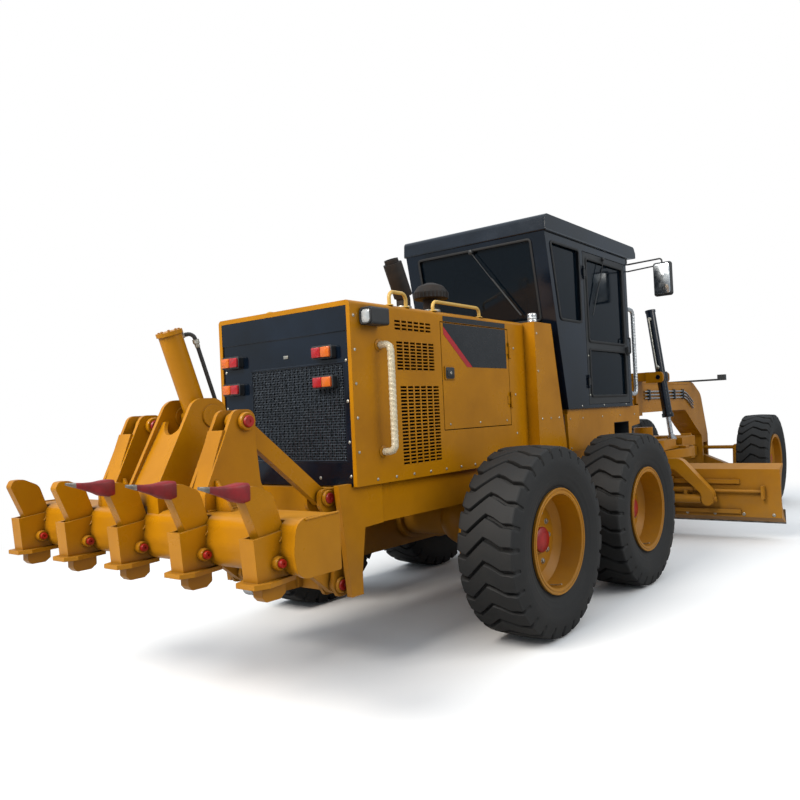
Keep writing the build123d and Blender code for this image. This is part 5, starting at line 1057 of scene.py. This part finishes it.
def frame_pipes():
    """Rigid hydraulic pipes in clamps on both flanks of the gooseneck, and its weld seams."""
    pipes, clamps, welds = [], [], []
    for _, sign in SIDES:
        for k in range(3):
            z, low = 1.56 + 0.042 * k, 0.042 * k
            for route in (((0.166, -2.30, 1.30 + low), (0.166, -2.86, z), (0.166, -3.22, z)),
                          ((0.166, -3.60, z), (0.166, -5.10, z), (0.166, -5.42, 1.40 + low))):
                pipes.append(sweep(bend(sided(sign, *route), 0.12, 8), round_profile(0.0095, 12)))
        for y in (-3.0, -3.75, -4.2, -4.65, -5.0):
            clamps.append(slab(sign * 0.1495, sign * 0.181, y - 0.02, y + 0.02, 1.535, 1.670, 0.004, 0.008))
        welds.append(weld_bead(seat((sign * 0.1505, -2.95, 1.745)), seat((sign * 0.1505, -5.30, 1.745)), 0.006))
    make("frame_pipes", pipes, "front_frame", CHROME)
    make("frame_pipe_clamps", clamps, "front_frame", PLASTIC)
    make("frame_welds", welds, "front_frame", YELLOW, crease=70)


def lift_details():
    """Gland rings, yoke pin ends and ports on the blade lift cylinders."""
    gland = [(0.0565, -0.024), (0.0665, -0.022), (0.068, 0.0), (0.0665, 0.020), (0.0565, 0.022)]
    band = [(0.0765, -0.012), (0.081, -0.010), (0.081, 0.010), (0.0765, 0.012)]
    union = [(0.022, 0.05), (0.022, 0.078), (0.014, 0.084), (0.014, 0.100)]
    for side, sign in SIDES:
        along = unit((-0.12 * sign, 0, 1.0))
        yoke = seat((sign * (0.560 - 0.12 * 0.785), -3.400, 1.800))
        rings = [ring_lathe(gland, yoke - along * 0.452, along, 36), ring_lathe(band, yoke, along, 36)]
        make(f"lift_rings_{side}", rings, f"lift_barrel_{side}", BLACK)
        ports = [lathe(union, yoke + along * d, REARWARDS, 20) for d in (0.12, 0.70)]
        route = [yoke + along * d + (0, out, 0)
                 for d, out in ((0.12, 0.098), (0.16, 0.100), (0.66, 0.100), (0.70, 0.098))]
        ports.append(sweep(bend(route, 0.02, 5), round_profile(0.008, 12), (1, 0, 0)))
        make(f"lift_ports_{side}", ports, f"lift_barrel_{side}", ZINC)


def steps_and_decks():
    """Gripping dimples on the hanging steps and the front deck."""
    step, deck = (((r0, 0.0), (r1, 0.003), (r2, 0.0035), (0, dip)) for r0, r1, r2, dip in
                  ((0.0085, 0.0075, 0.0055, 0.0012), (0.011, 0.010, 0.007, 0.001)))
    for side, sign in SIDES:
        grips = []
        for dimple, z, row, column in ((step, 0.8152, np.arange(0.530, 0.635, 0.024), np.arange(-1.605, -1.43, 0.03)),
                                       (deck, 1.4838, np.arange(0.18, 0.69, 0.05), np.arange(-2.06, -1.88, 0.045))):
            grips += [lathe(dimple, seat((sign * x, y, z)), UP, 10) for x in row for y in column]
        make(f"step_grips_{side}", grips, "front_frame", YELLOW, crease=40)


def step_recess():
    """Black tray behind the step opening in each skirt: two rectangles joined at the rim, each carried back
    to its own floor."""
    for side, sign in SIDES:
        outer, inner = rounded_box(0.346, 0.119, 0.01, 3), rounded_box(0.338, 0.111, 0.008, 3)
        rings = []
        for ring, x in ((outer, 0.522), (outer, 0.7005), (inner, 0.7005), (inner, 0.526)):
            rings.append(np.stack([np.full(len(ring), sign * x), -1.625 + ring[:, 0], 1.275 + ring[:, 1]], 1))
        make(f"step_recess_{side}", skin(seat(rings)), "front_frame", PLASTIC)


def front_lamps():
    """Head lamp bezels and lenses in the boxes at both ends of the lamp bar."""
    bezels, lenses = [], []
    for _, sign in SIDES:
        origin = seat((sign * 0.590, -5.465, 1.812))
        bezels.append(ring_lathe([(0.026, 0.0), (0.031, 0.0), (0.031, 0.008), (0.026, 0.010)], origin, (0, -1, 0), 28))
        lenses.append(lathe([(0.027, 0.0), (0.027, 0.004), (0.015, 0.008), (0, 0.009)], origin, (0, -1, 0), 28))
    make("head_lamp_bezels", bezels, "front_frame", PLASTIC)
    make("head_lamp_lenses", lenses, "front_frame", CLEAR_LENS)


circle_teeth()
blade_details()
frame_pipes()
lift_details()
steps_and_decks()
step_recess()
front_lamps()


# ---------------------------------------------------------------- studio
def make_floor():
    """Pale floor, flat and far wider than the machine."""
    mesh = bpy.data.meshes.new("studio_floor")
    mesh.from_pydata([(-60, -60, -0.002), (60, -60, -0.002), (60, 60, -0.002), (-60, 60, -0.002)], [], [(0, 1, 2, 3)])
    floor = bpy.data.objects.new("studio_floor", mesh)
    bpy.context.scene.collection.objects.link(floor)
    # matt paper sweep: white to the camera, a soft grey where the machine shades it
    material, tree, place = begin("studio_paper_matt")
    camera_ray = add(tree, "LightPath").outputs["Is Camera Ray"]
    tone = add(tree, "Mix", {"data_type": "RGBA"}, i0=camera_ray, i6=(0.42, 0.41, 0.40, 1.0), i7=(0.86, 0.86, 0.86, 1.0))
    paper = add(tree, "BsdfDiffuse", Color=tone.outputs[2])
    bare = add(tree, "Emission", Color=(1.0, 1.0, 1.0, 1.0), Strength=1.0)
    distance = add(tree, "VectorMath", {"operation": "LENGTH"}, i0=place).outputs["Value"]
    seen = math_node(tree, "MULTIPLY", remap(tree, distance, 4.2, 7.5, kind="SMOOTHSTEP"), camera_ray)
    surfaced(material, "MixShader", i0=seen, i1=paper, i2=bare)
    mesh.materials.append(material)


def make_sky():
    """Even pale light from all round, pure white where the camera looks past the floor."""
    world = bpy.data.worlds.new("studio_light")
    bpy.context.scene.world = world
    world.use_nodes = True
    tree = world.node_tree
    tree.nodes.clear()
    path = add(tree, "LightPath").outputs["Is Camera Ray"]
    place = add(tree, "TexCoord").outputs["Generated"]
    rise = remap(tree, add(tree, "SeparateXYZ", Vector=place).outputs[2], -0.1, 0.7, 0.25, 1.0)
    light = add(tree, "Background", Strength=rise, Color=(0.84, 0.92, 1.0, 1.0))
    white = add(tree, "Background", Color=(1, 1, 1, 1))
    add(tree, "OutputWorld", Surface=add(tree, "MixShader", i0=path, i1=light, i2=white))


def area_light(name, place, target, size, power, colour):
    light = bpy.data.lights.new(name, "AREA")
    light.color = colour
    light.shape, light.size, light.energy = "DISK", size, power
    lamp = bpy.data.objects.new(name, light)
    lamp.location = place
    lamp.rotation_euler = (Vector(target) - Vector(place)).to_track_quat("-Z", "Y").to_euler()
    bpy.context.scene.collection.objects.link(lamp)


def make_camera():
    """Eye height behind the machine's right rear corner."""
    focal, centre_x, centre_y = 734.2, 477.7, 401.3
    yaw, pitch, roll = math.radians(34.57), math.radians(0.73), math.radians(-2.78)
    place = (-3.608, 5.026 + TANDEM_Y, 1.509)
    forward = Vector((math.sin(yaw) * math.cos(pitch), -math.cos(yaw) * math.cos(pitch), math.sin(pitch)))
    level = forward.cross(Vector((0, 0, 1))).normalized()
    rise = level.cross(forward).normalized()
    across = level * math.cos(roll) + rise * math.sin(roll)
    upward = across.cross(forward)
    data = bpy.data.cameras.new("camera")
    data.sensor_width = 36
    data.lens = focal * 36 / 800
    data.shift_x = (400 - centre_x) / 800
    data.shift_y = (centre_y - 400) / 800
    data.clip_end = 200
    camera = bpy.data.objects.new("camera", data)
    camera.matrix_world = Matrix(((across.x, upward.x, -forward.x, place[0]), (across.y, upward.y, -forward.y, place[1]),
                                  (across.z, upward.z, -forward.z, place[2]), (0, 0, 0, 1)))
    bpy.context.scene.collection.objects.link(camera)
    bpy.context.scene.camera = camera


make_floor()
make_sky()
area_light("key_light", (1.0, 11.0, 8.5), (0, 0.5, 1.2), 6.0, 1450, (1.0, 0.95, 0.88))
area_light("side_light", (-10.0, 0.0, 7.0), (0, 0.0, 1.2), 7.0, 420, (1.0, 0.96, 0.9))
make_camera()
bpy.context.scene.view_settings.view_transform = "Standard"
